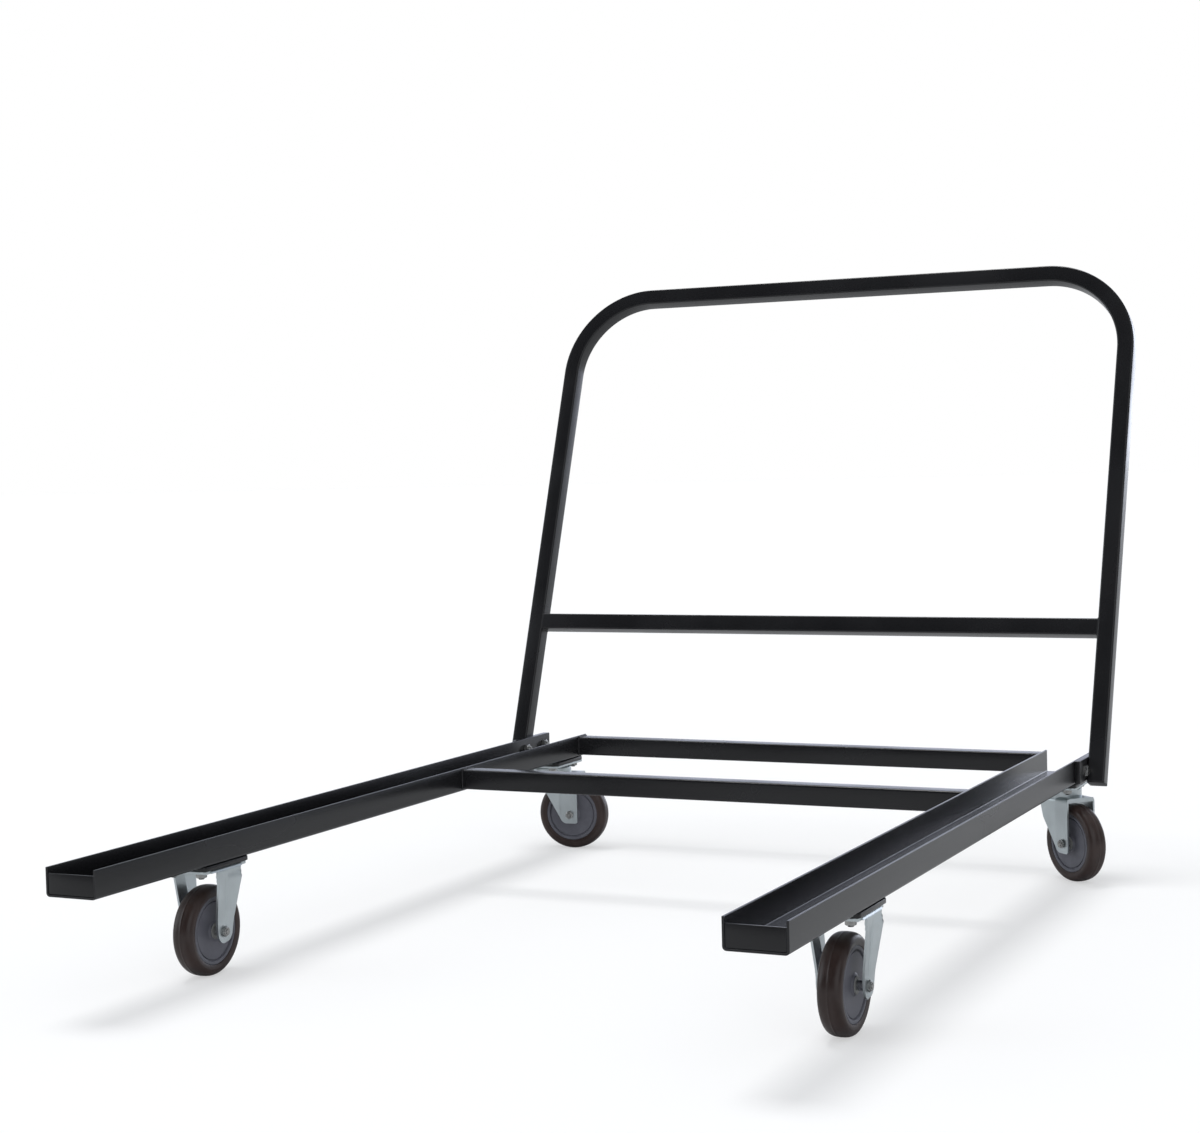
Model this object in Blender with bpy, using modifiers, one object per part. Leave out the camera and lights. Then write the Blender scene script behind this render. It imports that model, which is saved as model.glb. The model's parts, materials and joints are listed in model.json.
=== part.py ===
"""Hurdle cart: two open channels joined by square cross tubes, on two rigid and two swivel casters,
with a square-tube handle hoop bolted across the rear end.

Metres, +Z up. The open front ends of the channels face -Y and the handle is at +Y. The origin is on the
floor, under the middle of the whole cart's box, with the rear casters parked as they are stored here.
"""
from math import atan2, cos, pi, radians, sin, tan

import bmesh
import bpy
from mathutils import Matrix, Vector

# Clearance between pieces that touch, and how far shapes of one piece run into each other
GAP = 0.0003
LAP = 0.0001

# Deck: the two load channels
DECK_LENGTH = 1.397
DECK_WIDTH = 1.000
DECK_BOTTOM = 0.1595
RAIL_WIDTH = 0.078
RAIL_HEIGHT = 0.038
RAIL_WALL = 0.003
RAIL_BEND = 0.0050
FRONT_PLATE_HEIGHT = 0.0270
FRONT_PLATE_THICKNESS = 0.003
FRONT_PLATE_INSET = 0.0008
FRONT_DIP = 0.0002
FRONT_DIP_RUN = 0.001

# Cross tubes between the channels
CROSS_TUBE = 0.03175
CROSS_TUBE_WALL = 0.0025
CROSS_TUBE_CORNER = 0.003
CROSS_TUBE_LIFT = 0.0035
FRONT_TUBE_SETBACK = 0.4615

# Handle hoop
HANDLE_TUBE = 0.028
HANDLE_WALL = 0.002
HANDLE_CORNER = 0.0025
HANDLE_LENGTH = 0.908
HANDLE_LEAN = radians(20.5)
HANDLE_BEND = 0.146
HANDLE_FOOT_SETBACK = 0.0820
HANDLE_FOOT_LIFT = 0.0023
HANDLE_BAR_UP = 0.243
FOOT_PLUG_FLANGE = 0.0025
FOOT_PLUG_DEPTH = 0.018

# Mounting bars that carry the handle, and their bolts
BAR_LENGTH = 0.123
BAR_THICKNESS = 0.0084
BAR_BOLT_SPACING = 0.0684
BAR_BOLT_SETBACK = 0.0602
BAR_BOLT_LIFT = 0.0195
BAR_CORNER = 0.001

# Bolts: shank diameter, width across flats, head height, nut height
M8 = (0.008, 0.013, 0.0053, 0.0065)
M10 = (0.010, 0.016, 0.0064, 0.0080)
M12 = (0.012, 0.018, 0.0075, 0.0080)
HOLE_PLAY = 0.0004
THREAD_END = 0.003
STUD_END = 0.002

# Wheels
WHEEL_DIAMETER = 0.125
TYRE_WIDTH = 0.032
TYRE_DEPTH = 0.0155
TREAD_EDGE_ANGLE = 0.18
HUB_FACE = 0.0125
HUB_RIM_WIDTH = 0.0055
HUB_RIM_FACE = 0.0142
HUB_GROOVE = 0.002
HUB_BOSS_RADIUS = 0.0135
HUB_BOSS_FOOT = 0.0015
HUB_BOSS_FACE = 0.0215
BEARING_RADIUS = 0.0095
BEARING_FLANGE = 0.0014
BEARING_FLANGE_RADIUS = 0.0125
SLEEVE_RADIUS = 0.0062
RUNNING_CLEARANCE = 0.0003

# Caster plates and the black pads welded between them and the rails
PAD_THICKNESS = 0.006
PLATE_LENGTH = 0.105
PLATE_WIDTH = 0.076
PLATE_CORNER = 0.008
PLATE_THICKNESS = 0.0035
PLATE_BOLT_X = 0.046
PLATE_BOLT_Y = 0.080

# Front casters: rigid forks
FRONT_AXLE_Y = 0.2824
FORK_SHEET = 0.003
FORK_BEND = 0.007
RIGID_TOP_HALF_WIDTH = 0.038
RIGID_AXLE_HALF_WIDTH = 0.029
RIGID_LEG_TOP = 0.030
RIGID_LEG_AXLE = 0.0175
RIGID_TIP_DROP = 0.016
RIGID_KNEE_RISE = 0.014
RIGID_KNEE_BEND = 0.03
RIGID_SHOULDER_DROP = 0.001
RIGID_TIP_STEPS = 8

# Rear casters: swivel forks
KING_PIN_SETBACK = 0.0642
TRAIL = 0.0408
SWIVEL_CROWN_TOP = 0.1355
SWIVEL_HALF_WIDTH = 0.027
SWIVEL_FLARE = radians(15)
SWIVEL_LEG_BEHIND = 0.014
SWIVEL_STRIP = 0.032
SWIVEL_LEG_BELOW = 0.0155
SWIVEL_KNEE = (0.041, 0.039)
SWIVEL_LEG_AHEAD = 0.048
SWIVEL_LIP_DROP = 0.0065
SWIVEL_LIP_CORNER = 0.0015
SWIVEL_LIP_INSET = 0.0005
SWIVEL_HEEL_BEND = 0.008
SWIVEL_TOE_BEND = 0.004
SWIVEL_HEEL_AHEAD = 0.005
RACE_CUP_RADIUS = 0.035
RACE_CUP_HEIGHT = 0.0105
RACE_CUP_WALL = 0.0025
RACE_CUP_CORNER = 0.0015
RACE_DISH_RADIUS = 0.029
RACE_DISH_FLARE = 0.003
BALL_DIAMETER = 0.007
BALL_CIRCLE = 0.022
BALL_COUNT = 12
BALL_SEAT = 0.0008
RACE_RING_THICKNESS = 0.0022
RACE_RING_WIDTH = 0.010
KING_PIN_HEAD_RADIUS = 0.011
KING_PIN_HEAD_EDGE = 0.001
KING_PIN_HEAD_SPACE = 0.002

# Where the rear casters point when the cart is parked: turned from +Y towards +X
REAR_LEFT_HEADING = radians(81.88)
REAR_RIGHT_HEADING = radians(129.34)

# Facets of the round pieces
WHEEL_STEPS = 24
RACE_STEPS = 20
ROUND_STEPS = 12
TREAD_STEPS = 8
BOLT_STEPS = 10
SMALL_STEPS = 6
CORNER_STEPS = 3
TUBE_CORNER_STEPS = 2
HOOP_BEND_STEPS = 6

RAIL_X = DECK_WIDTH / 2 - RAIL_WIDTH / 2
RAIL_TOP = DECK_BOTTOM + RAIL_HEIGHT
WHEEL_RADIUS = WHEEL_DIAMETER / 2
TYRE_BORE_RADIUS = WHEEL_RADIUS - TYRE_DEPTH
FRONT_TUBE_FACE = DECK_LENGTH - FRONT_TUBE_SETBACK
HANDLE_FOOT_Y = DECK_LENGTH - HANDLE_FOOT_SETBACK
BAR_BOLT_Y = DECK_LENGTH - BAR_BOLT_SETBACK
KING_PIN_Y = DECK_LENGTH - KING_PIN_SETBACK
PAD_BOTTOM = DECK_BOTTOM - GAP - PAD_THICKNESS
PLATE_TOP = PAD_BOTTOM - GAP
PLATE_BOTTOM = PLATE_TOP - PLATE_THICKNESS
HANDLE_HALF = DECK_WIDTH / 2 + BAR_THICKNESS + 2 * GAP + HANDLE_TUBE / 2
HANDLE_FOOT_Z = DECK_BOTTOM + HANDLE_FOOT_LIFT
SIDES = (("left", -1), ("right", 1))
COLLECTION = "hurdle_cart"
MERGE_DISTANCE = 0.00001


def parked_reach(heading):
    """How far out from its rail's centre a parked rear wheel's round tread reaches along X."""
    tread = TYRE_WIDTH / 2
    return TRAIL * sin(heading) + (WHEEL_RADIUS - tread) * abs(sin(heading)) + tread


def footprint_centre():
    """The middle of the cart's box in X and Y, from the rails' centreline and their front ends."""
    handle_side = HANDLE_HALF + HANDLE_TUBE / 2
    right = max(handle_side, RAIL_X + parked_reach(REAR_RIGHT_HEADING))
    left = max(handle_side, RAIL_X + parked_reach(-REAR_LEFT_HEADING))
    up, deep = HANDLE_LENGTH - HANDLE_CORNER, HANDLE_TUBE - HANDLE_CORNER
    back = HANDLE_FOOT_Y + up * sin(HANDLE_LEAN) + deep * cos(HANDLE_LEAN) + HANDLE_CORNER
    return (right - left) / 2, back / 2


def clear_scene():
    for obj in list(bpy.data.objects):
        bpy.data.objects.remove(obj, do_unlink=True)


def collection(name):
    found = bpy.data.collections.get(name) or bpy.data.collections.new(name)
    if found.name not in bpy.context.scene.collection.children:
        bpy.context.scene.collection.children.link(found)
    return found


def material(name, colour, roughness, metallic):
    made = bpy.data.materials.new(name)
    made.use_nodes = True
    shader = made.node_tree.nodes["Principled BSDF"]
    shader.inputs["Base Color"].default_value = (*colour, 1.0)
    shader.inputs["Roughness"].default_value = roughness
    shader.inputs["Metallic"].default_value = metallic
    return made


def empty(name, parent, location, turn=0.0, tilt=0.0):
    """An empty at a joint or a seat, turned about Z and then tilted about its own X."""
    made = bpy.data.objects.new(name, None)
    made.parent = parent
    made.location = location
    made.rotation_euler = (tilt, 0.0, turn)
    collection(COLLECTION).objects.link(made)
    return made


def place(name, mesh, finish, parent, location=(0, 0, 0), rotation=(0, 0, 0)):
    """Put a mesh in the cart as a named piece with its own material."""
    made = bpy.data.objects.new(name, mesh)
    mesh.name = name
    mesh.materials.clear()
    mesh.materials.append(material(name, *finish))
    made.parent = parent
    made.location = location
    made.rotation_euler = rotation
    collection(COLLECTION).objects.link(made)
    return made


def shade_round(mesh, angle=35):
    mesh.shade_smooth()
    mesh.set_sharp_from_angle(angle=radians(angle))
    return mesh


def mesh_from(bm, name="shape"):
    mesh = bpy.data.meshes.new(name)
    bm.to_mesh(mesh)
    bm.free()
    return mesh


def evaluated(obj):
    """The mesh of an object with its modifiers applied; the object itself is removed."""
    if obj.name not in bpy.context.scene.collection.objects:
        bpy.context.scene.collection.objects.link(obj)
    graph = bpy.context.evaluated_depsgraph_get()
    graph.update()
    mesh = bpy.data.meshes.new_from_object(obj.evaluated_get(graph))
    bpy.data.objects.remove(obj, do_unlink=True)
    return mesh


def welded(mesh):
    """A mesh with its doubled vertices merged and its faces turned outwards."""
    bm = bmesh.new()
    bm.from_mesh(mesh)
    bmesh.ops.remove_doubles(bm, verts=bm.verts, dist=MERGE_DISTANCE)
    bmesh.ops.recalc_face_normals(bm, faces=bm.faces)
    return mesh_from(bm)


def moved(mesh, matrix):
    mesh.transform(matrix)
    return mesh


def joined(meshes):
    """One mesh that holds several separate solids."""
    bm = bmesh.new()
    for mesh in meshes:
        bm.from_mesh(mesh)
    return mesh_from(bm)


def combined(base, others, operation):
    """The exact Boolean of a mesh with each of the others in turn."""
    scene = bpy.context.scene.collection
    target = bpy.data.objects.new("base", base)
    scene.objects.link(target)
    tools = []
    for mesh in others:
        tool = bpy.data.objects.new("tool", mesh)
        scene.objects.link(tool)
        tools.append(tool)
        step = target.modifiers.new(operation, "BOOLEAN")
        step.operation = operation
        step.solver = "EXACT"
        step.object = tool
    result = evaluated(target)
    for tool in tools:
        bpy.data.objects.remove(tool, do_unlink=True)
    return result


def drill(target, name, meshes, parent):
    """Cut a piece with live cutters, kept in the cutters' collection."""
    tool = bpy.data.objects.new(name, joined(meshes))
    tool.parent = parent
    tool.hide_render = True
    tool.display_type = "WIRE"
    collection("cutters").objects.link(tool)
    step = target.modifiers.new(name, "BOOLEAN")
    step.operation = "DIFFERENCE"
    step.solver = "EXACT"
    step.object = tool


def rounded(corners, steps=CORNER_STEPS):
    """An outline from corners (x, y, radius), with an arc at each corner that has a radius."""
    points = []
    count = len(corners)
    for index, (x, y, radius) in enumerate(corners):
        corner = Vector((x, y))
        if radius == 0:
            points.append(corner)
            continue
        back = (Vector(corners[index - 1][:2]) - corner).normalized()
        ahead = (Vector(corners[(index + 1) % count][:2]) - corner).normalized()
        half = back.angle(ahead) / 2
        start = corner + back * (radius / tan(half))
        end = corner + ahead * (radius / tan(half))
        centre = corner + (back + ahead).normalized() * (radius / sin(half))
        first = start - centre
        sweep = (pi - 2 * half) * (1 if first.cross(end - centre) > 0 else -1)
        for step in range(steps + 1):
            angle = sweep * step / steps
            points.append(centre + Matrix.Rotation(angle, 2) @ first)
    return points


def rectangle(width, height, radius, steps=CORNER_STEPS):
    x, y = width / 2, height / 2
    return rounded([(-x, -y, radius), (x, -y, radius), (x, y, radius), (-x, y, radius)], steps)


def flat_curve(points, half_thickness):
    """A closed 2D curve in XY, filled and extruded both ways."""
    curve = bpy.data.curves.new("outline", "CURVE")
    curve.dimensions = "2D"
    curve.fill_mode = "BOTH"
    curve.extrude = half_thickness
    line = curve.splines.new("POLY")
    line.points.add(len(points) - 1)
    for point, (x, y) in zip(line.points, points):
        point.co = (x, y, 0, 1)
    line.use_cyclic_u = True
    return bpy.data.objects.new("outline", curve)


def slab(points, thickness):
    """A flat plate of an outline in XY, centred on z = 0."""
    return welded(evaluated(flat_curve(points, thickness / 2)))


def turned(profile, steps):
    """A solid turned about Z from an (r, z) profile that runs down the outer side from the top."""
    bm = bmesh.new()
    verts = [bm.verts.new((r, 0, z)) for r, z in profile]
    for first, second in zip(verts, verts[1:]):
        bm.edges.new((first, second))
    if profile[0][0] > 0:
        bm.edges.new((verts[-1], verts[0]))
    obj = bpy.data.objects.new("turned", mesh_from(bm))
    screw = obj.modifiers.new("turn", "SCREW")
    screw.steps = steps
    screw.render_steps = steps
    screw.use_merge_vertices = True
    screw.merge_threshold = MERGE_DISTANCE
    return shade_round(welded(evaluated(obj)))


def rod(radius, low, high, steps=BOLT_STEPS):
    """A plain cylinder along Z."""
    bm = bmesh.new()
    centre = Matrix.Translation((0, 0, (low + high) / 2))
    bmesh.ops.create_cone(bm, cap_ends=True, segments=steps, radius1=radius, radius2=radius,
                          depth=high - low, matrix=centre)
    return mesh_from(bm)


def bore(radius, low, high, steps=BOLT_STEPS):
    """A cutter for a round hole, with its flats clear of the radius."""
    return rod(radius / cos(pi / steps), low, high, steps)


def hexagon(flats, low, high):
    return rod(flats / 2 / cos(pi / 6), low, high, 6)


def nut(size, steps=BOLT_STEPS):
    """A hex nut from z = 0 up, with a running hole for its bolt."""
    shank, flats, _, height = size
    hole = bore(shank / 2 + HOLE_PLAY / 2, -height, 2 * height, steps)
    return combined(hexagon(flats, 0, height), [hole], "DIFFERENCE")


def hex_bolt(size, length, steps=BOLT_STEPS):
    """A bolt whose head stands on z = 0 and whose shank runs down by its length."""
    shank, flats, head, _ = size
    body = hexagon(flats, 0, head)
    return combined(body, [rod(shank / 2, -length, head / 2, steps)], "UNION")


def square_section(width, wall, corner, length):
    """A hollow square tube along X, centred on the origin, with open ends."""
    bm = bmesh.new()
    section = rectangle(width, width, corner, TUBE_CORNER_STEPS)
    loop = [bm.verts.new((-length / 2, y, z)) for y, z in section]
    edges = [bm.edges.new((loop[i - 1], loop[i])) for i in range(len(loop))]
    swept = bmesh.ops.extrude_edge_only(bm, edges=edges)["geom"]
    ends = [part for part in swept if isinstance(part, bmesh.types.BMVert)]
    bmesh.ops.translate(bm, verts=ends, vec=(length, 0, 0))
    bmesh.ops.recalc_face_normals(bm, faces=bm.faces)
    return thickened(mesh_from(bm), wall)


def thickened(mesh, wall):
    """An open surface made a closed sheet, with its wall inside the surface."""
    obj = bpy.data.objects.new("sheet", mesh)
    sheet = obj.modifiers.new("wall", "SOLIDIFY")
    sheet.thickness = wall
    sheet.offset = -1
    sheet.use_even_offset = True
    return welded(evaluated(obj))


def open_section(stations, wall):
    """A sheet lofted through like sections, each a list of (x, y, z), walled on its inner side."""
    bm = bmesh.new()
    rows = [[bm.verts.new(point) for point in section] for section in stations]
    for near, far in zip(rows, rows[1:]):
        for i in range(len(near) - 1):
            bm.faces.new((near[i], far[i], far[i + 1], near[i + 1]))
    return thickened(mesh_from(bm), wall)


# Colours, roughness and metallic value of each finish
BLACK_COAT = ((0.012, 0.012, 0.014), 0.25, 0.0)
ZINC = ((0.66, 0.70, 0.70), 0.35, 0.9)
STEEL = ((0.45, 0.46, 0.47), 0.35, 1.0)
TREAD = ((0.065, 0.048, 0.045), 0.55, 0.0)
HUB_GREY = ((0.17, 0.175, 0.19), 0.5, 0.0)
BEARING_GREY = ((0.30, 0.30, 0.29), 0.5, 0.0)
PLUG_BLACK = ((0.015, 0.015, 0.015), 0.5, 0.0)


def channel_profile():
    """The outer line of a channel, up-side open, as (x, z) from its left lip to its right lip."""
    half = RAIL_WIDTH / 2
    corners = [(-half, RAIL_HEIGHT, 0), (-half, 0, RAIL_BEND), (half, 0, RAIL_BEND), (half, RAIL_HEIGHT, 0)]
    return rounded(corners)


def plate_bolt_centres():
    x, y = PLATE_BOLT_X / 2, PLATE_BOLT_Y / 2
    return [(-x, -y), (x, -y), (x, y), (-x, y)]


def bar_bolt_centres():
    return [BAR_BOLT_Y - BAR_BOLT_SPACING / 2, BAR_BOLT_Y + BAR_BOLT_SPACING / 2]


def across(side, x, y, z):
    """Turns a shape made along Z so that its top points outwards along X on the given side."""
    return Matrix.Translation((x, y, z)) @ Matrix.Rotation(side * pi / 2, 4, "Y")


def rail(name, side, root):
    """A folded channel with holes for the bar bolts; its floor dips under the plate at its front end."""
    outline = channel_profile()
    behind = FRONT_PLATE_INSET + FRONT_PLATE_THICKNESS + FRONT_DIP_RUN
    stations = []
    for y, dip in ((0, FRONT_DIP), (behind - FRONT_DIP_RUN, FRONT_DIP), (behind, 0), (DECK_LENGTH, 0)):
        section = [(x, z - dip if z < RAIL_HEIGHT else z) for x, z in outline]
        stations.append([(side * RAIL_X + x, y, DECK_BOTTOM + z) for x, z in section])
    made = place(name, shade_round(open_section(stations, RAIL_WALL)), BLACK_COAT, root)
    holes = []
    for y in bar_bolt_centres():
        hole = bore(M10[0] / 2 + HOLE_PLAY, -2 * RAIL_WALL, RAIL_WALL)
        holes.append(moved(hole, across(side, side * DECK_WIDTH / 2, y, DECK_BOTTOM + BAR_BOLT_LIFT)))
    drill(made, name + "_holes", holes, root)


def front_plate(name, side, root):
    """The plate welded inside the front end of a channel, lower than its walls."""
    inner = RAIL_WIDTH / 2 - RAIL_WALL - GAP
    bend = max(RAIL_BEND - RAIL_WALL, GAP) + GAP
    low = RAIL_WALL + GAP
    corners = [(-inner, FRONT_PLATE_HEIGHT + low, 0), (-inner, low, bend),
               (inner, low, bend), (inner, FRONT_PLATE_HEIGHT + low, 0)]
    mesh = slab(rounded(corners), FRONT_PLATE_THICKNESS)
    y = FRONT_PLATE_INSET + FRONT_PLATE_THICKNESS / 2
    place(name, mesh, BLACK_COAT, root, (side * RAIL_X, y, DECK_BOTTOM), (pi / 2, 0, 0))


def cross_tube(name, face_y, root):
    length = DECK_WIDTH - 2 * RAIL_WIDTH - 2 * GAP
    mesh = square_section(CROSS_TUBE, CROSS_TUBE_WALL, CROSS_TUBE_CORNER, length)
    z = DECK_BOTTOM + CROSS_TUBE_LIFT + CROSS_TUBE / 2
    place(name, mesh, BLACK_COAT, root, (0, face_y + CROSS_TUBE / 2, z))


def hoop_path():
    """The hoop's centreline in its own plane, up one leg, across the top and down the other."""
    half = HANDLE_HALF
    top = HANDLE_LENGTH - HANDLE_TUBE / 2
    points = [(-half, 0)]
    for centre_x, first in ((-half + HANDLE_BEND, pi), (half - HANDLE_BEND, pi / 2)):
        for step in range(HOOP_BEND_STEPS + 1):
            angle = first - pi / 2 * step / HOOP_BEND_STEPS
            points.append((centre_x + HANDLE_BEND * cos(angle), top - HANDLE_BEND + HANDLE_BEND * sin(angle)))
    points.append((half, 0))
    return points


def handle_hoop(name, stand):
    """A square tube swept along the hoop's path, mitred at each step, with open feet."""
    path = hoop_path()
    section = rectangle(HANDLE_TUBE, HANDLE_TUBE, HANDLE_CORNER, TUBE_CORNER_STEPS)
    bm = bmesh.new()
    rows = []
    for index, (x, z) in enumerate(path):
        before = Vector(path[max(index - 1, 0)])
        after = Vector(path[min(index + 1, len(path) - 1)])
        here = Vector((x, z))
        lines = [line.normalized() for line in (here - before, after - here) if line.length > 0]
        run = sum(lines, Vector((0, 0))).normalized()
        side = Vector((-run.y, run.x))
        stretch = 1 / max(side.dot(Vector((-lines[0].y, lines[0].x))), 0.5)
        row = []
        for across_tube, depth in section:
            offset = here + side * across_tube * stretch
            row.append(bm.verts.new((offset.x, HANDLE_TUBE / 2 + depth, offset.y)))
        rows.append(row)
    for near, far in zip(rows, rows[1:]):
        for i in range(len(near)):
            bm.faces.new((near[i - 1], near[i], far[i], far[i - 1]))
    bmesh.ops.recalc_face_normals(bm, faces=bm.faces)
    place(name, shade_round(thickened(mesh_from(bm), HANDLE_WALL)), BLACK_COAT, stand)


def handle_crossbar(name, stand):
    length = 2 * HANDLE_HALF - HANDLE_TUBE - 2 * GAP
    mesh = square_section(HANDLE_TUBE, HANDLE_WALL, HANDLE_CORNER, length)
    place(name, mesh, BLACK_COAT, stand, (0, HANDLE_TUBE / 2, HANDLE_BAR_UP + HANDLE_TUBE / 2))


def foot_plug(name, side, stand):
    """A moulded plug pushed up into the foot of a handle leg."""
    inner = HANDLE_TUBE - 2 * HANDLE_WALL - 2 * GAP
    corner = max(HANDLE_CORNER - HANDLE_WALL, GAP)
    stem = moved(slab(rectangle(inner, inner, corner), FOOT_PLUG_DEPTH),
                 Matrix.Translation((0, 0, FOOT_PLUG_DEPTH / 2 - GAP - FOOT_PLUG_FLANGE / 2)))
    flange = moved(slab(rectangle(HANDLE_TUBE, HANDLE_TUBE, HANDLE_CORNER), FOOT_PLUG_FLANGE),
                   Matrix.Translation((0, 0, -GAP - FOOT_PLUG_FLANGE / 2)))
    mesh = combined(flange, [stem], "UNION")
    place(name, mesh, PLUG_BLACK, stand, (side * HANDLE_HALF, HANDLE_TUBE / 2, 0))


def handle_bar(name, side, root):
    """The flat bar between a rail's outer wall and a handle leg, drilled for its two bolts."""
    height = RAIL_HEIGHT - HANDLE_FOOT_LIFT
    length = BAR_LENGTH
    x = side * (DECK_WIDTH / 2 + GAP + BAR_THICKNESS / 2)
    y = DECK_LENGTH - length / 2
    z = RAIL_TOP - height / 2
    mesh = slab(rectangle(length, height, BAR_CORNER), BAR_THICKNESS)
    mesh.transform(Matrix.Rotation(pi / 2, 4, "Z") @ Matrix.Rotation(pi / 2, 4, "X"))
    made = place(name, mesh, BLACK_COAT, root, (x, y, z))
    holes = []
    for bolt_y in bar_bolt_centres():
        hole = bore(M10[0] / 2 + HOLE_PLAY, -BAR_THICKNESS, BAR_THICKNESS)
        holes.append(moved(hole, across(side, x, bolt_y, DECK_BOTTOM + BAR_BOLT_LIFT)))
    drill(made, name + "_holes", holes, root)


def handle_fasteners(word, side, root):
    """The two bolts through a bar and its rail's wall, heads outside, and their nuts in the channel."""
    grip = BAR_THICKNESS + RAIL_WALL + 3 * GAP
    z = DECK_BOTTOM + BAR_BOLT_LIFT
    for place_word, y in zip(("front", "rear"), bar_bolt_centres()):
        head_x = side * (DECK_WIDTH / 2 + BAR_THICKNESS + 2 * GAP)
        bolt = moved(hex_bolt(M10, grip + M10[3] + THREAD_END), across(side, head_x, y, z))
        place(f"{word}_handle_bolt_{place_word}", bolt, ZINC, root)
        nut_x = side * (DECK_WIDTH / 2 - RAIL_WALL - GAP - M10[3])
        lock_nut = moved(nut(M10), across(side, nut_x, y, z))
        place(f"{word}_handle_nut_{place_word}", lock_nut, ZINC, root)


def caster_pad(name, clamped, seat):
    """The black pad under a rail, with four studs and the nuts that clamp a sheet of this thickness."""
    pad = moved(slab(rectangle(PLATE_WIDTH, PLATE_LENGTH, PLATE_CORNER), PAD_THICKNESS),
                Matrix.Translation((0, 0, PAD_BOTTOM + PAD_THICKNESS / 2)))
    shank, flats, _, height = M8
    nut_top = PLATE_TOP - clamped - GAP
    studs = []
    for x, y in plate_bolt_centres():
        spot = Matrix.Translation((x, y, 0))
        low = nut_top - height - STUD_END
        studs.append(moved(rod(shank / 2, low, PAD_BOTTOM + PAD_THICKNESS / 2, SMALL_STEPS), spot))
        studs.append(moved(hexagon(flats, nut_top - height, nut_top), spot))
    place(name, combined(pad, studs, "UNION"), BLACK_COAT, seat)


def plate_holes():
    """Cutters for the stud holes through a caster plate, in the caster's frame."""
    holes = []
    for x, y in plate_bolt_centres():
        hole = bore(M8[0] / 2 + HOLE_PLAY, PLATE_BOTTOM - PLATE_THICKNESS, PLATE_TOP + PLATE_THICKNESS)
        holes.append(moved(hole, Matrix.Translation((x, y, 0))))
    return holes


def axle_line(mesh):
    """Turns a piece made along Z to lie along the wheel's axle, X."""
    return moved(mesh, Matrix.Rotation(pi / 2, 4, "Y"))


def wheel(prefix, axle, half_width):
    """A wheel on its axle bolt: tread, hub, bearing bush, clamped sleeve, bolt and nut."""
    inner = half_width - FORK_SHEET
    hub_bore = BEARING_RADIUS + GAP
    rim = TYRE_BORE_RADIUS - GAP
    groove = rim - HUB_RIM_WIDTH
    hub_half = [(hub_bore, HUB_BOSS_FACE), (HUB_BOSS_RADIUS, HUB_BOSS_FACE),
                (HUB_BOSS_RADIUS + HUB_BOSS_FOOT, HUB_FACE),
                (groove - HUB_GROOVE, HUB_FACE), (groove, HUB_FACE - HUB_GROOVE),
                (groove + HUB_GROOVE / 2, HUB_RIM_FACE), (rim, HUB_RIM_FACE)]
    hub = turned(hub_half + [(r, -z) for r, z in reversed(hub_half)], WHEEL_STEPS)
    place(prefix + "_hub", axle_line(hub), HUB_GREY, axle)

    tread = TYRE_WIDTH / 2
    ring = WHEEL_RADIUS - tread
    shoulder = [(TYRE_BORE_RADIUS, HUB_RIM_FACE)]
    arc = []
    first = pi / 2 - TREAD_EDGE_ANGLE
    for step in range(TREAD_STEPS + 1):
        angle = first - 2 * first * step / TREAD_STEPS
        arc.append((ring + tread * cos(angle), tread * sin(angle)))
    tyre = turned(shoulder + arc + [(TYRE_BORE_RADIUS, -HUB_RIM_FACE)], WHEEL_STEPS)
    place(prefix + "_tyre", axle_line(tyre), TREAD, axle)

    bush_bore = SLEEVE_RADIUS + RUNNING_CLEARANCE
    lip = HUB_BOSS_FACE + GAP
    bush = turned([(bush_bore, lip + BEARING_FLANGE), (BEARING_FLANGE_RADIUS, lip + BEARING_FLANGE),
                   (BEARING_FLANGE_RADIUS, lip), (BEARING_RADIUS, lip),
                   (BEARING_RADIUS, -HUB_BOSS_FACE), (bush_bore, -HUB_BOSS_FACE)], ROUND_STEPS)
    place(prefix + "_bearing", axle_line(bush), BEARING_GREY, axle)

    sleeve_bore = M8[0] / 2 + HOLE_PLAY / 2
    end = inner - GAP
    sleeve = turned([(sleeve_bore, end), (SLEEVE_RADIUS, end), (SLEEVE_RADIUS, -end), (sleeve_bore, -end)],
                    ROUND_STEPS)
    place(prefix + "_sleeve", axle_line(sleeve), STEEL, axle)

    face = half_width + GAP
    length = 2 * face + M8[3] + THREAD_END
    bolt = moved(hex_bolt(M8, length), Matrix.Rotation(pi, 4, "Y") @ Matrix.Translation((0, 0, face)))
    place(prefix + "_axle_bolt", axle_line(bolt), ZINC, axle)
    lock_nut = moved(nut(M8), Matrix.Translation((0, 0, face)))
    place(prefix + "_axle_nut", axle_line(lock_nut), ZINC, axle)


def axle_hole(y):
    hole = bore(M8[0] / 2 + HOLE_PLAY / 2, -PLATE_WIDTH, PLATE_WIDTH)
    return moved(axle_line(hole), Matrix.Translation((0, y, WHEEL_RADIUS)))


def side_slab(points):
    """A cutter that keeps what lies inside an outline in Y and Z."""
    mesh = slab(points, 2 * PLATE_WIDTH)
    return moved(mesh, Matrix.Rotation(pi / 2, 4, "Z") @ Matrix.Rotation(pi / 2, 4, "X"))


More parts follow.
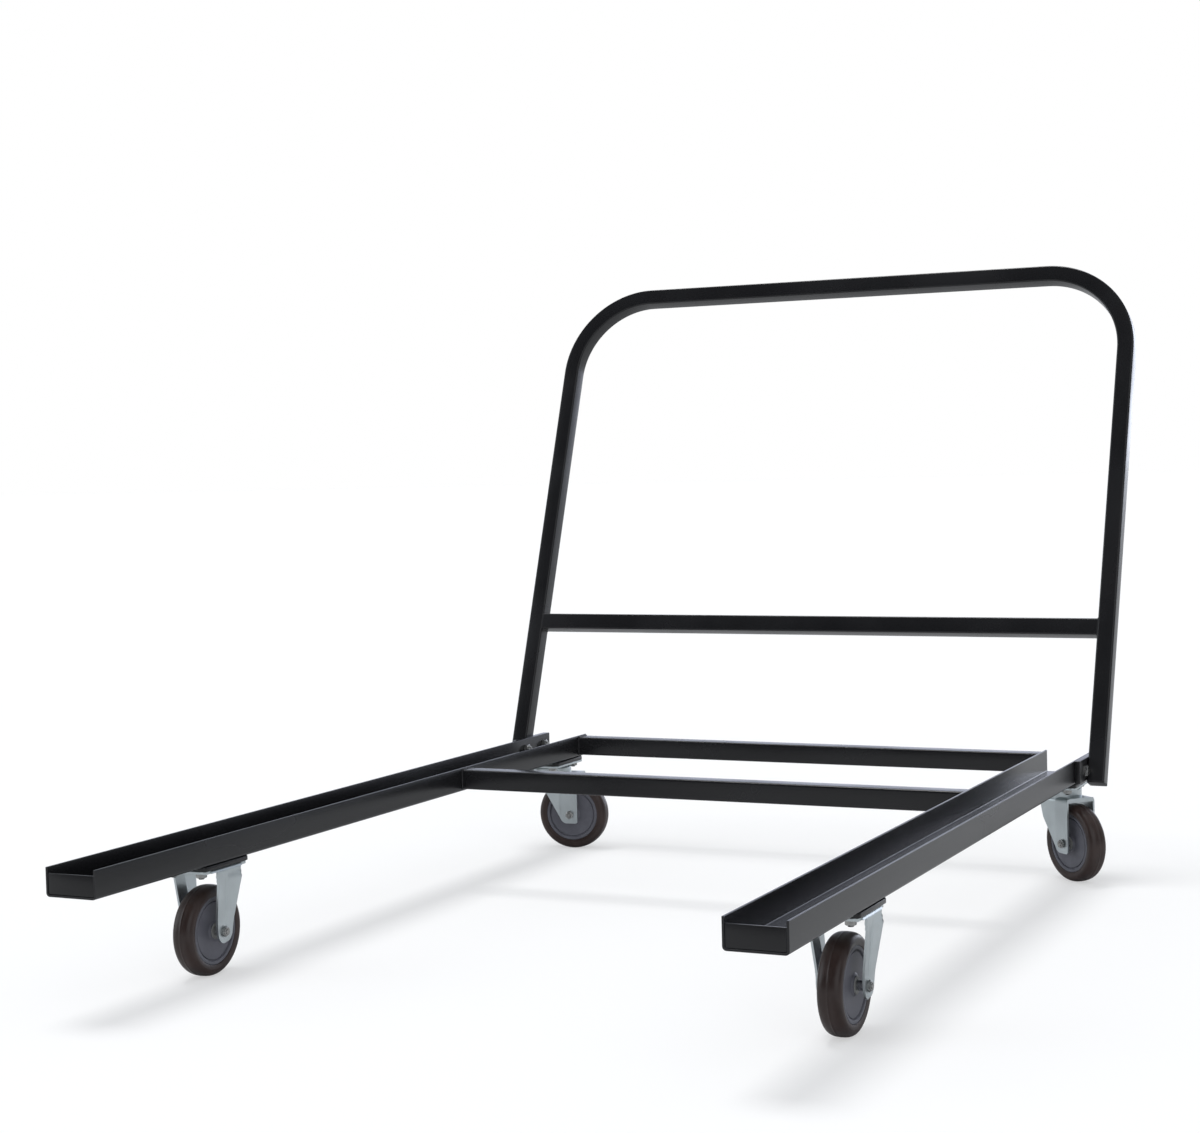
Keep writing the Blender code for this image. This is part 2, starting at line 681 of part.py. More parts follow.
def rigid_fork(name, seat):
    """A folded U whose legs splay up to the plate and taper down to round tips."""
    top, low = RIGID_TOP_HALF_WIDTH, WHEEL_RADIUS - RIGID_TIP_DROP
    foot, knee = RIGID_AXLE_HALF_WIDTH, WHEEL_RADIUS + RIGID_KNEE_RISE
    corners = [(-foot, low - FORK_SHEET, 0), (-foot, knee, RIGID_KNEE_BEND), (-top, PLATE_TOP, FORK_BEND),
               (top, PLATE_TOP, FORK_BEND), (foot, knee, RIGID_KNEE_BEND), (foot, low - FORK_SHEET, 0)]
    outline = rounded(corners)
    half_length = PLATE_LENGTH / 2
    ends = (half_length + FORK_SHEET, -half_length - FORK_SHEET)
    sheet = open_section([[(x, y, z) for x, z in outline] for y in ends], FORK_SHEET)
    shoulder = PLATE_BOTTOM - RIGID_SHOULDER_DROP
    tip_angle = atan2(RIGID_LEG_TOP - RIGID_LEG_AXLE, shoulder - WHEEL_RADIUS)
    tip = []
    for step in range(RIGID_TIP_STEPS + 1):
        angle = tip_angle + (pi - 2 * tip_angle) * step / RIGID_TIP_STEPS + pi
        tip.append((RIGID_LEG_AXLE * cos(angle), WHEEL_RADIUS + RIGID_TIP_DROP * sin(angle)))
    over = half_length + 2 * FORK_SHEET
    above = PLATE_TOP + FORK_SHEET
    tab = [(over, shoulder), (over, above), (-over, above), (-over, shoulder)]
    legs = [(-RIGID_LEG_TOP, shoulder)] + tip + [(RIGID_LEG_TOP, shoulder)]
    keep = side_slab(legs + tab)
    lip = PLATE_WIDTH / 2 - FORK_BEND / 2
    wide = PLATE_WIDTH
    step_y = RIGID_LEG_TOP + FORK_SHEET
    plan = rounded([(-lip, -half_length, PLATE_CORNER), (lip, -half_length, PLATE_CORNER), (lip, -step_y, 0),
                    (wide, -step_y, 0), (wide, step_y, 0), (lip, step_y, 0), (lip, half_length, PLATE_CORNER),
                    (-lip, half_length, PLATE_CORNER), (-lip, step_y, 0), (-wide, step_y, 0),
                    (-wide, -step_y, 0), (-lip, -step_y, 0)])
    trim = moved(slab(plan, 1.0), Matrix.Translation((0, 0, WHEEL_RADIUS)))
    mesh = combined(sheet, [keep, trim], "INTERSECT")
    made = place(name, shade_round(mesh), ZINC, seat)
    drill(made, name + "_holes", plate_holes() + [axle_hole(0)], seat)


def swivel_section(y, low):
    """The swivel fork's folded section at one distance behind the king pin."""
    strip_start = TRAIL + SWIVEL_LEG_BEHIND - SWIVEL_STRIP
    half = SWIVEL_HALF_WIDTH + max(strip_start - y, 0) * tan(SWIVEL_FLARE)
    corners = [(-half, low, 0), (-half, SWIVEL_CROWN_TOP, FORK_BEND),
               (half, SWIVEL_CROWN_TOP, FORK_BEND), (half, low, 0)]
    return [(x, y, z) for x, z in rounded(corners)]


def swivel_fork(name, pivot):
    """A folded fork whose legs trail behind the king pin, with a round race cup raised on its crown."""
    low = WHEEL_RADIUS - SWIVEL_LEG_BELOW
    back = TRAIL + SWIVEL_LEG_BEHIND
    strip_start = back - SWIVEL_STRIP
    front = TRAIL - SWIVEL_LEG_AHEAD
    ends = (back + FORK_SHEET, strip_start, front - FORK_SHEET)
    stations = [swivel_section(y, low - FORK_SHEET) for y in ends]
    sheet = open_section(stations, FORK_SHEET)
    above = SWIVEL_CROWN_TOP + FORK_SHEET
    knee_y, knee_z = TRAIL - SWIVEL_KNEE[0], WHEEL_RADIUS + SWIVEL_KNEE[1]
    keep = side_slab(rounded([(back, above, 0), (front, above, 0), (front, SWIVEL_CROWN_TOP - FORK_SHEET, 0),
                              (knee_y, knee_z, 0), (strip_start + SWIVEL_HEEL_AHEAD, low, SWIVEL_HEEL_BEND),
                              (back, low, SWIVEL_TOE_BEND)]))
    legs = combined(sheet, [keep], "INTERSECT")

    crown_low = SWIVEL_CROWN_TOP - FORK_SHEET
    cup_top = SWIVEL_CROWN_TOP + RACE_CUP_HEIGHT
    cup_inner = RACE_CUP_RADIUS - RACE_CUP_WALL
    pin_hole = M12[0] / 2 + RUNNING_CLEARANCE
    cup_corner = RACE_CUP_CORNER
    cup = turned([(0, SWIVEL_CROWN_TOP), (cup_inner - cup_corner, SWIVEL_CROWN_TOP),
                  (cup_inner, SWIVEL_CROWN_TOP + cup_corner), (cup_inner, cup_top),
                  (RACE_CUP_RADIUS - cup_corner, cup_top), (RACE_CUP_RADIUS, cup_top - cup_corner),
                  (RACE_CUP_RADIUS, SWIVEL_CROWN_TOP - cup_corner),
                  (RACE_CUP_RADIUS - cup_corner, crown_low - LAP), (0, crown_low - LAP)], RACE_STEPS)
    lip_half = SWIVEL_HALF_WIDTH - FORK_SHEET / 2
    lip_mesh = slab(rectangle(2 * lip_half, SWIVEL_LIP_DROP, SWIVEL_LIP_CORNER), FORK_SHEET)
    lip_middle = SWIVEL_CROWN_TOP - SWIVEL_LIP_INSET - SWIVEL_LIP_DROP / 2
    lip = moved(lip_mesh, Matrix.Translation((0, back - FORK_SHEET / 2 - LAP, lip_middle))
                @ Matrix.Rotation(pi / 2, 4, "X"))
    pin_cut = bore(pin_hole, crown_low - FORK_SHEET, cup_top + FORK_SHEET, ROUND_STEPS)
    mesh = combined(legs, [cup, lip], "UNION")
    mesh = combined(mesh, [pin_cut], "DIFFERENCE")
    made = place(name, shade_round(mesh), ZINC, pivot)
    drill(made, name + "_axle_hole", [axle_hole(TRAIL)], pivot)


def top_plate(name, seat):
    """The swivel caster's bolted plate, pressed down in the middle into the upper ball race."""
    dish_low = SWIVEL_CROWN_TOP + BALL_SEAT + BALL_DIAMETER + 2 * GAP
    pin_hole = M12[0] / 2 + HOLE_PLAY / 2
    plate = moved(slab(rectangle(PLATE_WIDTH, PLATE_LENGTH, PLATE_CORNER), PLATE_THICKNESS),
                  Matrix.Translation((0, 0, PLATE_TOP - PLATE_THICKNESS / 2)))
    hollow = KING_PIN_HEAD_RADIUS + KING_PIN_HEAD_SPACE
    dish = turned([(0, PLATE_TOP - LAP), (RACE_DISH_RADIUS + RACE_DISH_FLARE, PLATE_TOP - LAP),
                   (RACE_DISH_RADIUS + RACE_DISH_FLARE / 2, PLATE_BOTTOM - GAP),
                   (RACE_DISH_RADIUS, dish_low), (0, dish_low)], RACE_STEPS)
    head_space = rod(hollow, dish_low + FORK_SHEET, PLATE_TOP + FORK_SHEET, ROUND_STEPS)
    pin_cut = bore(pin_hole, dish_low - FORK_SHEET, PLATE_TOP + FORK_SHEET, ROUND_STEPS)
    mesh = combined(plate, [dish], "UNION")
    mesh = combined(mesh, [head_space, pin_cut], "DIFFERENCE")
    made = place(name, shade_round(mesh), ZINC, seat)
    drill(made, name + "_holes", plate_holes(), seat)


def king_pin(prefix, seat):
    """The pin that the fork swivels on, with a round head in the plate's dish and a nut under the crown."""
    dish_floor = SWIVEL_CROWN_TOP + BALL_SEAT + BALL_DIAMETER + 2 * GAP + FORK_SHEET
    crown_low = SWIVEL_CROWN_TOP - FORK_SHEET
    nut_top = crown_low - 2 * GAP
    radius = M12[0] / 2
    head_top = PLATE_TOP - GAP
    head, edge = KING_PIN_HEAD_RADIUS, KING_PIN_HEAD_EDGE
    tip = nut_top - M12[3] + edge
    pin = turned([(0, head_top), (head - edge, head_top), (head, head_top - edge), (head, dish_floor + GAP),
                  (radius, dish_floor + GAP), (radius, tip), (0, tip)], ROUND_STEPS)
    place(prefix + "_king_pin", pin, STEEL, seat)
    pin_nut = moved(nut(M12, ROUND_STEPS), Matrix.Translation((0, 0, nut_top - M12[3])))
    place(prefix + "_king_nut", pin_nut, ZINC, seat)


def ball_race(name, pivot):
    """The lower race: a ring pressed into the fork's cup, with the ring of balls that run in it."""
    low = SWIVEL_CROWN_TOP + GAP
    top = low + RACE_RING_THICKNESS
    half = RACE_RING_WIDTH / 2
    ring = turned([(BALL_CIRCLE + half, top), (BALL_CIRCLE + half, low), (BALL_CIRCLE - half, low),
                   (BALL_CIRCLE - half, top)], ROUND_STEPS)
    balls = []
    for index in range(BALL_COUNT):
        angle = 2 * pi * index / BALL_COUNT
        spot = (BALL_CIRCLE * cos(angle), BALL_CIRCLE * sin(angle), low + BALL_SEAT + BALL_DIAMETER / 2)
        bm = bmesh.new()
        bmesh.ops.create_icosphere(bm, subdivisions=1, radius=BALL_DIAMETER / 2,
                                   matrix=Matrix.Translation(spot))
        balls.append(mesh_from(bm))
    place(name, shade_round(combined(ring, balls, "UNION"), 60), STEEL, pivot)


def front_caster(prefix, side, root):
    seat = empty(prefix + "_seat", root, (side * RAIL_X, FRONT_AXLE_Y, 0))
    caster_pad(prefix + "_pad", FORK_SHEET, seat)
    rigid_fork(prefix + "_fork", seat)
    axle = empty(prefix + "_axle", seat, (0, 0, WHEEL_RADIUS))
    wheel(prefix, axle, RIGID_AXLE_HALF_WIDTH)


def rear_caster(prefix, side, heading, root):
    seat = empty(prefix + "_seat", root, (side * RAIL_X, KING_PIN_Y, 0))
    caster_pad(prefix + "_pad", PLATE_THICKNESS, seat)
    top_plate(prefix + "_top_plate", seat)
    king_pin(prefix, seat)
    pivot = empty(prefix + "_swivel", seat, (0, 0, 0), turn=-heading)
    ball_race(prefix + "_ball_race", pivot)
    swivel_fork(prefix + "_fork", pivot)
    axle = empty(prefix + "_axle", pivot, (0, TRAIL, WHEEL_RADIUS))
    wheel(prefix, axle, SWIVEL_HALF_WIDTH)


def build():
    clear_scene()
    centre_x, centre_y = footprint_centre()
    root = empty("cart", None, (-centre_x, -centre_y, 0))
    for word, side in SIDES:
        rail(word + "_rail", side, root)
        front_plate(word + "_front_plate", side, root)
        handle_bar(word + "_handle_bar", side, root)
    cross_tube("front_cross_tube", FRONT_TUBE_FACE, root)
    cross_tube("rear_cross_tube", DECK_LENGTH - CROSS_TUBE, root)

    stand = empty("handle_stand", root, (0, HANDLE_FOOT_Y, HANDLE_FOOT_Z), tilt=-HANDLE_LEAN)
    handle_hoop("handle_hoop", stand)
    handle_crossbar("handle_crossbar", stand)
    for word, side in SIDES:
        foot_plug(word + "_foot_plug", side, stand)
        handle_fasteners(word, side, root)

    front_caster("front_left", -1, root)
    front_caster("front_right", 1, root)
    rear_caster("rear_left", -1, REAR_LEFT_HEADING, root)
    rear_caster("rear_right", 1, REAR_RIGHT_HEADING, root)


build()
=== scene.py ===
# %% [markdown]
# # A hurdle cart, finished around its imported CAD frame
# The cart is two open steel channels on four casters, tied by square cross tubes, with a square-tube
# handle hoop bolted across its rear end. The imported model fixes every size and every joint, so this lesson
# never moves it. It adds what the eye wants: rounder edges, weld beads, turned wheels, folded forks and
# the finishes of black paint, zinc plate, moulded nylon and tread.

# %% Load the frame
import json
from math import atan2, copysign, cos, pi, radians, sin, tan

import bmesh
import bpy
from mathutils import Matrix, Vector


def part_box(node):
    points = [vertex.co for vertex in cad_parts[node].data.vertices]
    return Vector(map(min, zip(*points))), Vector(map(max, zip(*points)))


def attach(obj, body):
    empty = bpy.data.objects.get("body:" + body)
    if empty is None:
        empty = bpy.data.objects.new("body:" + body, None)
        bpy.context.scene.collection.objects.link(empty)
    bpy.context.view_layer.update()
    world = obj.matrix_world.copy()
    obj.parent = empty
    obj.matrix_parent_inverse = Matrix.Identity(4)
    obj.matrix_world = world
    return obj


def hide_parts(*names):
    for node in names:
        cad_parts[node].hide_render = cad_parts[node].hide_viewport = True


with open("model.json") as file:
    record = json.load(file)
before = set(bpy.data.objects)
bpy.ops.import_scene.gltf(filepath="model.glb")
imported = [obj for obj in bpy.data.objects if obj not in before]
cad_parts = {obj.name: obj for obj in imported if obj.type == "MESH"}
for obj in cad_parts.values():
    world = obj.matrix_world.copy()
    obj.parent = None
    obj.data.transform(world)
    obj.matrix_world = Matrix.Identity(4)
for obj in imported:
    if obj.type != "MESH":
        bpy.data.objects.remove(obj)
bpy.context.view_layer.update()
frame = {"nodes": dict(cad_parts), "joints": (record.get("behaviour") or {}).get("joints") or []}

# %% [markdown]
# ## The camera
# The picture was taken from table height, in front of the cart and to its right, with a short telephoto lens.
# Three angles turn the camera: yaw to the left, pitch down and a slight roll. Its axes go straight into the
# columns of the object's matrix, which is exact and needs no constraint.

# %% Camera
CAMERA_PLACE = Vector((1.33029, -3.00333, 0.69056))
CAMERA_YAW = radians(25.713)
CAMERA_PITCH = radians(2.725)
CAMERA_ROLL = radians(-1.421)
LENS_MM = 65.98
SENSOR_MM = 36.0


def camera_axes(yaw, pitch, roll):
    """The camera's right, up and forward directions."""
    forward = Vector((-sin(yaw) * cos(pitch), cos(yaw) * cos(pitch), -sin(pitch)))
    level_right = Vector((cos(yaw), sin(yaw), 0))
    level_up = level_right.cross(forward)
    right = cos(roll) * level_right + sin(roll) * level_up
    up = -sin(roll) * level_right + cos(roll) * level_up
    return right, up, forward


def put(name, data):
    """An object in the scene that shows some data."""
    made = bpy.data.objects.new(name, data)
    bpy.context.scene.collection.objects.link(made)
    return made


right, up, forward = camera_axes(CAMERA_YAW, CAMERA_PITCH, CAMERA_ROLL)
camera_data = bpy.data.cameras.new("camera")
camera_data.lens = LENS_MM
camera_data.sensor_width = SENSOR_MM
camera_data.clip_end = 200
camera = put("camera", camera_data)
turn = Matrix((right, up, -forward)).transposed().to_4x4()
camera.matrix_world = Matrix.Translation(CAMERA_PLACE) @ turn
bpy.context.scene.camera = camera
print("camera looks along", [round(v, 3) for v in forward])

# %% [markdown]
# ## The studio
# Gloss black is only ever as light as what it mirrors, so the surroundings matter more here than the lamps.
# The world is bright behind the cart and dim behind the camera: long sides seen at a low angle mirror the
# bright part and turn bluish grey, and faces that look at the camera stay nearly black. The camera itself
# sees plain white, through Light Path.

# %% World
def add(tree, kind, inputs=None, **settings):
    """Add a node with its settings. An input given a socket is linked to it, any other takes a value."""
    node = tree.nodes.new(kind)
    for name, value in settings.items():
        setattr(node, name, value)
    for key, value in (inputs or {}).items():
        if isinstance(value, bpy.types.NodeSocket):
            tree.links.new(value, node.inputs[key])
        else:
            node.inputs[key].default_value = value
    return node


def ramp_colour(tree, value, stops):
    """The colour of a ramp at a value. Each stop is a place and a colour."""
    ramp = add(tree, "ShaderNodeValToRGB", {0: value})
    elements = ramp.color_ramp.elements
    for index in (0, -1):
        elements[index].position = stops[index][0]
        elements[index].color = (*stops[index][1], 1)
    for position, colour in stops[1:-1]:
        elements.new(position).color = (*colour, 1)
    return ramp.outputs[0]


FILL_COLOUR = (0.90, 0.94, 1.0)
FILL_STRENGTH = 0.52
MIRRORED_STRENGTH = 1.45
# The ramp runs from the direction behind the camera to the direction behind the cart.
MIRRORED_STOPS = [(0.0, (0.035, 0.035, 0.04)), (0.35, (0.10, 0.105, 0.115)), (0.62, (0.20, 0.21, 0.22)),
                  (0.87, (0.31, 0.335, 0.35)), (0.95, (0.66, 0.70, 0.84)), (1.0, (0.78, 0.82, 0.96))]

world = bpy.data.worlds.new("studio")
world.use_nodes = True
bpy.context.scene.world = world
tree = world.node_tree
tree.nodes.clear()
coords = add(tree, "ShaderNodeTexCoord")
parts = add(tree, "ShaderNodeSeparateXYZ", {0: coords.outputs["Generated"]})
towards = add(tree, "ShaderNodeMath", {0: parts.outputs["Y"], 1: 0.5, 2: 0.5}, operation="MULTIPLY_ADD")
mirrored = ramp_colour(tree, towards.outputs[0], MIRRORED_STOPS)
path = add(tree, "ShaderNodeLightPath")
fill = add(tree, "ShaderNodeBackground", {"Color": (*FILL_COLOUR, 1), "Strength": FILL_STRENGTH})
in_gloss = add(tree, "ShaderNodeBackground", {"Color": mirrored, "Strength": MIRRORED_STRENGTH})
plain = add(tree, "ShaderNodeBackground", {"Color": (1, 1, 1, 1)})
gloss_mix = add(tree, "ShaderNodeMixShader",
                {0: path.outputs["Is Glossy Ray"], 1: fill.outputs[0], 2: in_gloss.outputs[0]})
camera_mix = add(tree, "ShaderNodeMixShader",
                 {0: path.outputs["Is Camera Ray"], 1: gloss_mix.outputs[0], 2: plain.outputs[0]})
add(tree, "ShaderNodeOutputWorld", {"Surface": camera_mix.outputs[0]})
bpy.context.scene.view_settings.view_transform = "Standard"
print("world ramp has", len(MIRRORED_STOPS), "stops")

# %% [markdown]
# ## The lamps
# The floor has to be lit evenly, so that it can be white out to the horizon and still hold the cart's
# shadow. A sun lamp does that, and a wide angle makes it as soft as a studio bank of lamps. The main one is
# nearly overhead, a little behind and to the left; two weaker ones open up the forks and the treads. A low
# one behind the cart grazes the long right-hand faces.

# %% Lamps
# Each lamp has the point it shines from, its strength, its angle in degrees and its colour.
LAMPS = {"overhead": ((-0.75, 0.35, 3.6), 1.55, 26, (1, 1, 1)),
         "front_right": ((2.6, -3.4, 2.2), 0.60, 60, (0.96, 0.98, 1.0)),
         "left": ((-3.4, -1.6, 1.4), 0.55, 40, (0.90, 0.95, 1.0)),
         "back": ((0.62, 3.3, 0.22), 0.24, 20, (0.86, 0.91, 1.0))}


def sun_lamp(name, source, strength, angle, colour):
    """A soft lamp that shines from the direction of a point; gives the light it brings to the floor."""
    data = bpy.data.lights.new(name, "SUN")
    data.energy = strength
    data.angle = radians(angle)
    data.color = colour
    lamp = put(name, data)
    lamp.location = source
    lamp.rotation_euler = (-Vector(source)).to_track_quat("-Z", "Y").to_euler()
    return strength * Vector(source).normalized().z / pi


floor_light = FILL_STRENGTH * sum(FILL_COLOUR) / 3
for name, settings in LAMPS.items():
    floor_light += sun_lamp(name, *settings)
print("light on the open floor", round(floor_light, 3))

# %% [markdown]
# ## The floor
# A pale diffuse floor bounces light up under the cart. For the camera its colour is darker and a glow makes
# up the difference, so that the open floor comes out just white and the shadow on it stays as faint as it
# is in a studio picture.

# %% Floor
FLOOR_HALF = 60.0
FLOOR_COLOUR = 0.62
FLOOR_SEEN = 0.46
FLOOR_WHITE = 1.02
FLOOR_GLOW = FLOOR_WHITE - FLOOR_SEEN * floor_light

bm = bmesh.new()
bmesh.ops.create_grid(bm, x_segments=1, y_segments=1, size=FLOOR_HALF)
floor_mesh = bpy.data.meshes.new("floor")
bm.to_mesh(floor_mesh)
bm.free()
floor = put("floor", floor_mesh)
floor_paint = bpy.data.materials.new("floor")
floor_paint.use_nodes = True
floor_mesh.materials.append(floor_paint)
tree = floor_paint.node_tree
tree.nodes.clear()
seen = add(tree, "ShaderNodeLightPath").outputs["Is Camera Ray"]
tone = add(tree, "ShaderNodeMapRange", {"Value": seen, "To Min": FLOOR_COLOUR, "To Max": FLOOR_SEEN})
matt = add(tree, "ShaderNodeBsdfDiffuse", {"Color": tone.outputs["Result"]})
amount = add(tree, "ShaderNodeMath", {0: seen, 1: FLOOR_GLOW}, operation="MULTIPLY")
glow = add(tree, "ShaderNodeEmission", {"Strength": amount.outputs[0]})
both = add(tree, "ShaderNodeAddShader", {0: matt.outputs[0], 1: glow.outputs[0]})
add(tree, "ShaderNodeOutputMaterial", {"Surface": both.outputs[0]})
print("glow for the camera", round(FLOOR_GLOW, 3))

# %% [markdown]
# ## A shared effect: mottle
# Real paint, zinc and nylon are never one even value. This node group puts out a slow cloud and a fine
# speckle from Object coordinates. Each material gives it scales of its own and decides what it changes.

# %% Mottle group
CLOUD_DETAIL = 4.0
SPECKLE_DETAIL = 2.0
CLOUD_LOW = 0.3
CLOUD_HIGH = 0.7


def new_group(name, inputs, outputs):
    """An empty shader node group. Its inputs have a name, a kind and a default, its outputs are floats."""
    group = bpy.data.node_groups.new(name, "ShaderNodeTree")
    for label, kind, default in inputs:
        socket = group.interface.new_socket(label, in_out="INPUT", socket_type=kind)
        if default is not None:
            socket.default_value = default
    for label in outputs:
        group.interface.new_socket(label, in_out="OUTPUT", socket_type="NodeSocketFloat")
    return group, group.nodes.new("NodeGroupInput").outputs, group.nodes.new("NodeGroupOutput").inputs


mottle, given, results = new_group(
    "mottle", [("Vector", "NodeSocketVector", None), ("Cloud Scale", "NodeSocketFloat", 12.0),
               ("Speckle Scale", "NodeSocketFloat", 300.0)], ["Cloud", "Speckle"])
cloud = add(mottle, "ShaderNodeTexNoise",
            {"Vector": given["Vector"], "Scale": given["Cloud Scale"], "Detail": CLOUD_DETAIL})
speckle = add(mottle, "ShaderNodeTexNoise",
              {"Vector": given["Vector"], "Scale": given["Speckle Scale"], "Detail": SPECKLE_DETAIL})
spread = add(mottle, "ShaderNodeMapRange",
             {"Value": cloud.outputs["Fac"], "From Min": CLOUD_LOW, "From Max": CLOUD_HIGH},
             interpolation_type="SMOOTHSTEP")
mottle.links.new(spread.outputs["Result"], results["Cloud"])
mottle.links.new(speckle.outputs["Fac"], results["Speckle"])
print("mottle has", len(mottle.nodes), "nodes")

# %% [markdown]
# ## A shared effect: worn and highlighted edges
# Paint thins and metal brightens where hands, straps and floors rub, and the same paler colour also stands in
# for the highlight that a rounded edge catches: the mask is partly wear and partly painted highlight. The
# Bevel node rounds the normal near an edge, so the angle between the rounded and the true normal marks the
# edges from the geometry alone.

# %% Edge group
BEVEL_SAMPLES = 4
FLAT_AGREES = 0.995
EDGE_AGREES = 0.85

edges, given, results = new_group(
    "edges", [("Radius", "NodeSocketFloat", 0.0015), ("Patches", "NodeSocketFloat", 1.0)], ["Mask"])
rounded = add(edges, "ShaderNodeBevel", {"Radius": given["Radius"]}, samples=BEVEL_SAMPLES)
geometry = add(edges, "ShaderNodeNewGeometry")
agree = add(edges, "ShaderNodeVectorMath", {0: rounded.outputs[0], 1: geometry.outputs["Normal"]},
            operation="DOT_PRODUCT")
amount = add(edges, "ShaderNodeMapRange",
             {"Value": agree.outputs["Value"], "From Min": FLAT_AGREES, "From Max": EDGE_AGREES})
patchy = add(edges, "ShaderNodeMath", {0: amount.outputs["Result"], 1: given["Patches"]},
             operation="MULTIPLY")
edges.links.new(patchy.outputs[0], results["Mask"])
print("edges has", len(edges.nodes), "nodes")

# %% [markdown]
# ## Finishes
# Every finish here is one recipe with its own numbers: a mottled base colour, a mottled roughness, a little
# bump from the speckle, and for some of them edges that pale, partly with wear and partly with painted
# highlight.
# Black paint is smooth and mirrors the room, zinc is a soft metal with faint cool clouds, nylon and tread are
# dull.

# %% Finish recipe
BUMP_HEIGHT = 0.0002
LEAST_EDGE = 0.4


def finish(name, dark, light, rough, metal=0.0, ior=1.45, cloud=60.0, speckle=300.0, stretch=(1, 1, 1),
           edge=None, edge_share=0.5, edge_radius=0.0015, bump=0.02):
    """A mottled material: base colour between dark and light, roughness between two values."""
    made = bpy.data.materials.new(name)
    made.use_nodes = True
    tree = made.node_tree
    shader = tree.nodes["Principled BSDF"]
    shader.inputs["Metallic"].default_value = metal
    shader.inputs["IOR"].default_value = ior
    coords = add(tree, "ShaderNodeTexCoord")
    mapping = add(tree, "ShaderNodeMapping", {"Vector": coords.outputs["Object"], "Scale": stretch})
    pattern = add(tree, "ShaderNodeGroup", {"Vector": mapping.outputs[0], "Cloud Scale": cloud,
                                            "Speckle Scale": speckle}, node_tree=mottle)
    clouds = pattern.outputs["Cloud"]
    shown = ramp_colour(tree, clouds, [(0.0, dark), (1.0, light)])
    # The edge colour goes on along edges: partly wear, partly a painted highlight of the rounded edge.
    if edge:
        patches = add(tree, "ShaderNodeMapRange",
                      {"Value": clouds, "To Min": edge_share * LEAST_EDGE, "To Max": edge_share})
        worn_and_highlit = add(tree, "ShaderNodeGroup", {"Radius": edge_radius, "Patches": patches.outputs["Result"]},
                   node_tree=edges)
        blend = add(tree, "ShaderNodeMix", {"Factor": worn_and_highlit.outputs["Mask"], 6: shown, 7: (*edge, 1)},
                    data_type="RGBA")
        shown = blend.outputs[2]
    roughness = add(tree, "ShaderNodeMapRange", {"Value": clouds, "To Min": rough[0], "To Max": rough[1]})
    relief = add(tree, "ShaderNodeBump",
                 {"Height": pattern.outputs["Speckle"], "Strength": bump, "Distance": BUMP_HEIGHT})
    tree.links.new(shown, shader.inputs["Base Color"])
    tree.links.new(roughness.outputs["Result"], shader.inputs["Roughness"])
    tree.links.new(relief.outputs[0], shader.inputs["Normal"])
    return made


FINISHES = {
    # The bluish edge colours of black paint and the hub are partly wear and partly painted highlight on the
    # edges.
    "black_coat": finish("black_paint", (0.0080, 0.0080, 0.0088), (0.012, 0.012, 0.0132), (0.20, 0.30),
                         ior=1.43, cloud=7.0, speckle=420.0, stretch=(1, 0.25, 1),
                         edge=(0.075, 0.078, 0.088), bump=0.12),
    "zinc": finish("zinc_plate", (0.49, 0.535, 0.55), (0.54, 0.59, 0.605), (0.29, 0.32), metal=0.92,
                   cloud=30.0, speckle=520.0, bump=0.008),
    "steel": finish("bright_steel", (0.40, 0.41, 0.42), (0.52, 0.53, 0.54), (0.25, 0.38), metal=1.0,
                    speckle=700.0, bump=0.08),
    "tread": finish("tread", (0.028, 0.0165, 0.0140), (0.046, 0.028, 0.0240), (0.30, 0.42), cloud=30.0,
                    speckle=600.0, bump=0.18),
    "hub": finish("hub_nylon", (0.108, 0.108, 0.128), (0.135, 0.135, 0.158), (0.42, 0.55), cloud=45.0,
                  speckle=900.0, bump=0.10, edge=(0.19, 0.19, 0.215), edge_share=0.3, edge_radius=0.0008),
    "bearing": finish("bush_nylon", (0.24, 0.24, 0.23), (0.31, 0.31, 0.30), (0.45, 0.55)),
    "plug": finish("plug_plastic", (0.011, 0.011, 0.012), (0.018, 0.018, 0.019), (0.45, 0.60))}
# The bolts' near-white edges are painted glints, partly also wear of the plating.
BOLT_ZINC = finish("bolt_zinc", (0.24, 0.24, 0.235), (0.36, 0.36, 0.35), (0.20, 0.32), metal=0.95,
                   cloud=120.0, speckle=900.0, edge=(0.70, 0.72, 0.73), edge_share=0.7, edge_radius=0.0006,
                   bump=0.08)
print("finishes", sorted(FINISHES))

# %% [markdown]
# ## Finishes on the frame
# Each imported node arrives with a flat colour. The words of its name say what it is made of, so a short table
# is enough to give every node its real finish.

# %% Paint the nodes
SLOT_OF_WORD = {"tyre": "tread", "hub": "hub", "bearing": "bearing", "sleeve": "steel", "pin": "steel",
                "race": "steel", "plug": "plug", "fork": "zinc"}


def slot_of(node):
    """The material slot of a CAD node, from the words of its name."""
    words = node.split("_")
    if "bolt" in words or "nut" in words or node.endswith("top_plate"):
        return "zinc"
    return SLOT_OF_WORD.get(words[-1], "black_coat")


for name, node in frame["nodes"].items():
    node.data.materials.clear()
    node.data.materials.append(FINISHES[slot_of(name)])
print("painted", len(frame["nodes"]), "nodes")

# %% [markdown]
# ## Measures taken from the frame
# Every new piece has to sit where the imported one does, so most places are read from the frame and not typed
# again: boxes for the straight steel, and joints for the wheels. A joint's axis is the axle, and the axle,
# the trail direction and up are the three directions of a caster.

# %% Places
rail_low, rail_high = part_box("right_rail")
RAIL_WIDTH = rail_high.x - rail_low.x
RAIL_HEIGHT = 0.038
RAIL_LENGTH = rail_high.y - rail_low.y
DECK_BOTTOM = rail_high.z - RAIL_HEIGHT
FRONT_Y = rail_low.y
REAR_Y = rail_high.y
MIDDLE_X = (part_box("left_rail")[0].x + rail_high.x) / 2
JOINTS = {joint["name"]: joint for joint in frame["joints"]}
CASTERS = ("front_left", "front_right", "rear_left", "rear_right")
WHEEL_RADIUS = JOINTS["front_left_wheel_spin"]["pos_m"][2]


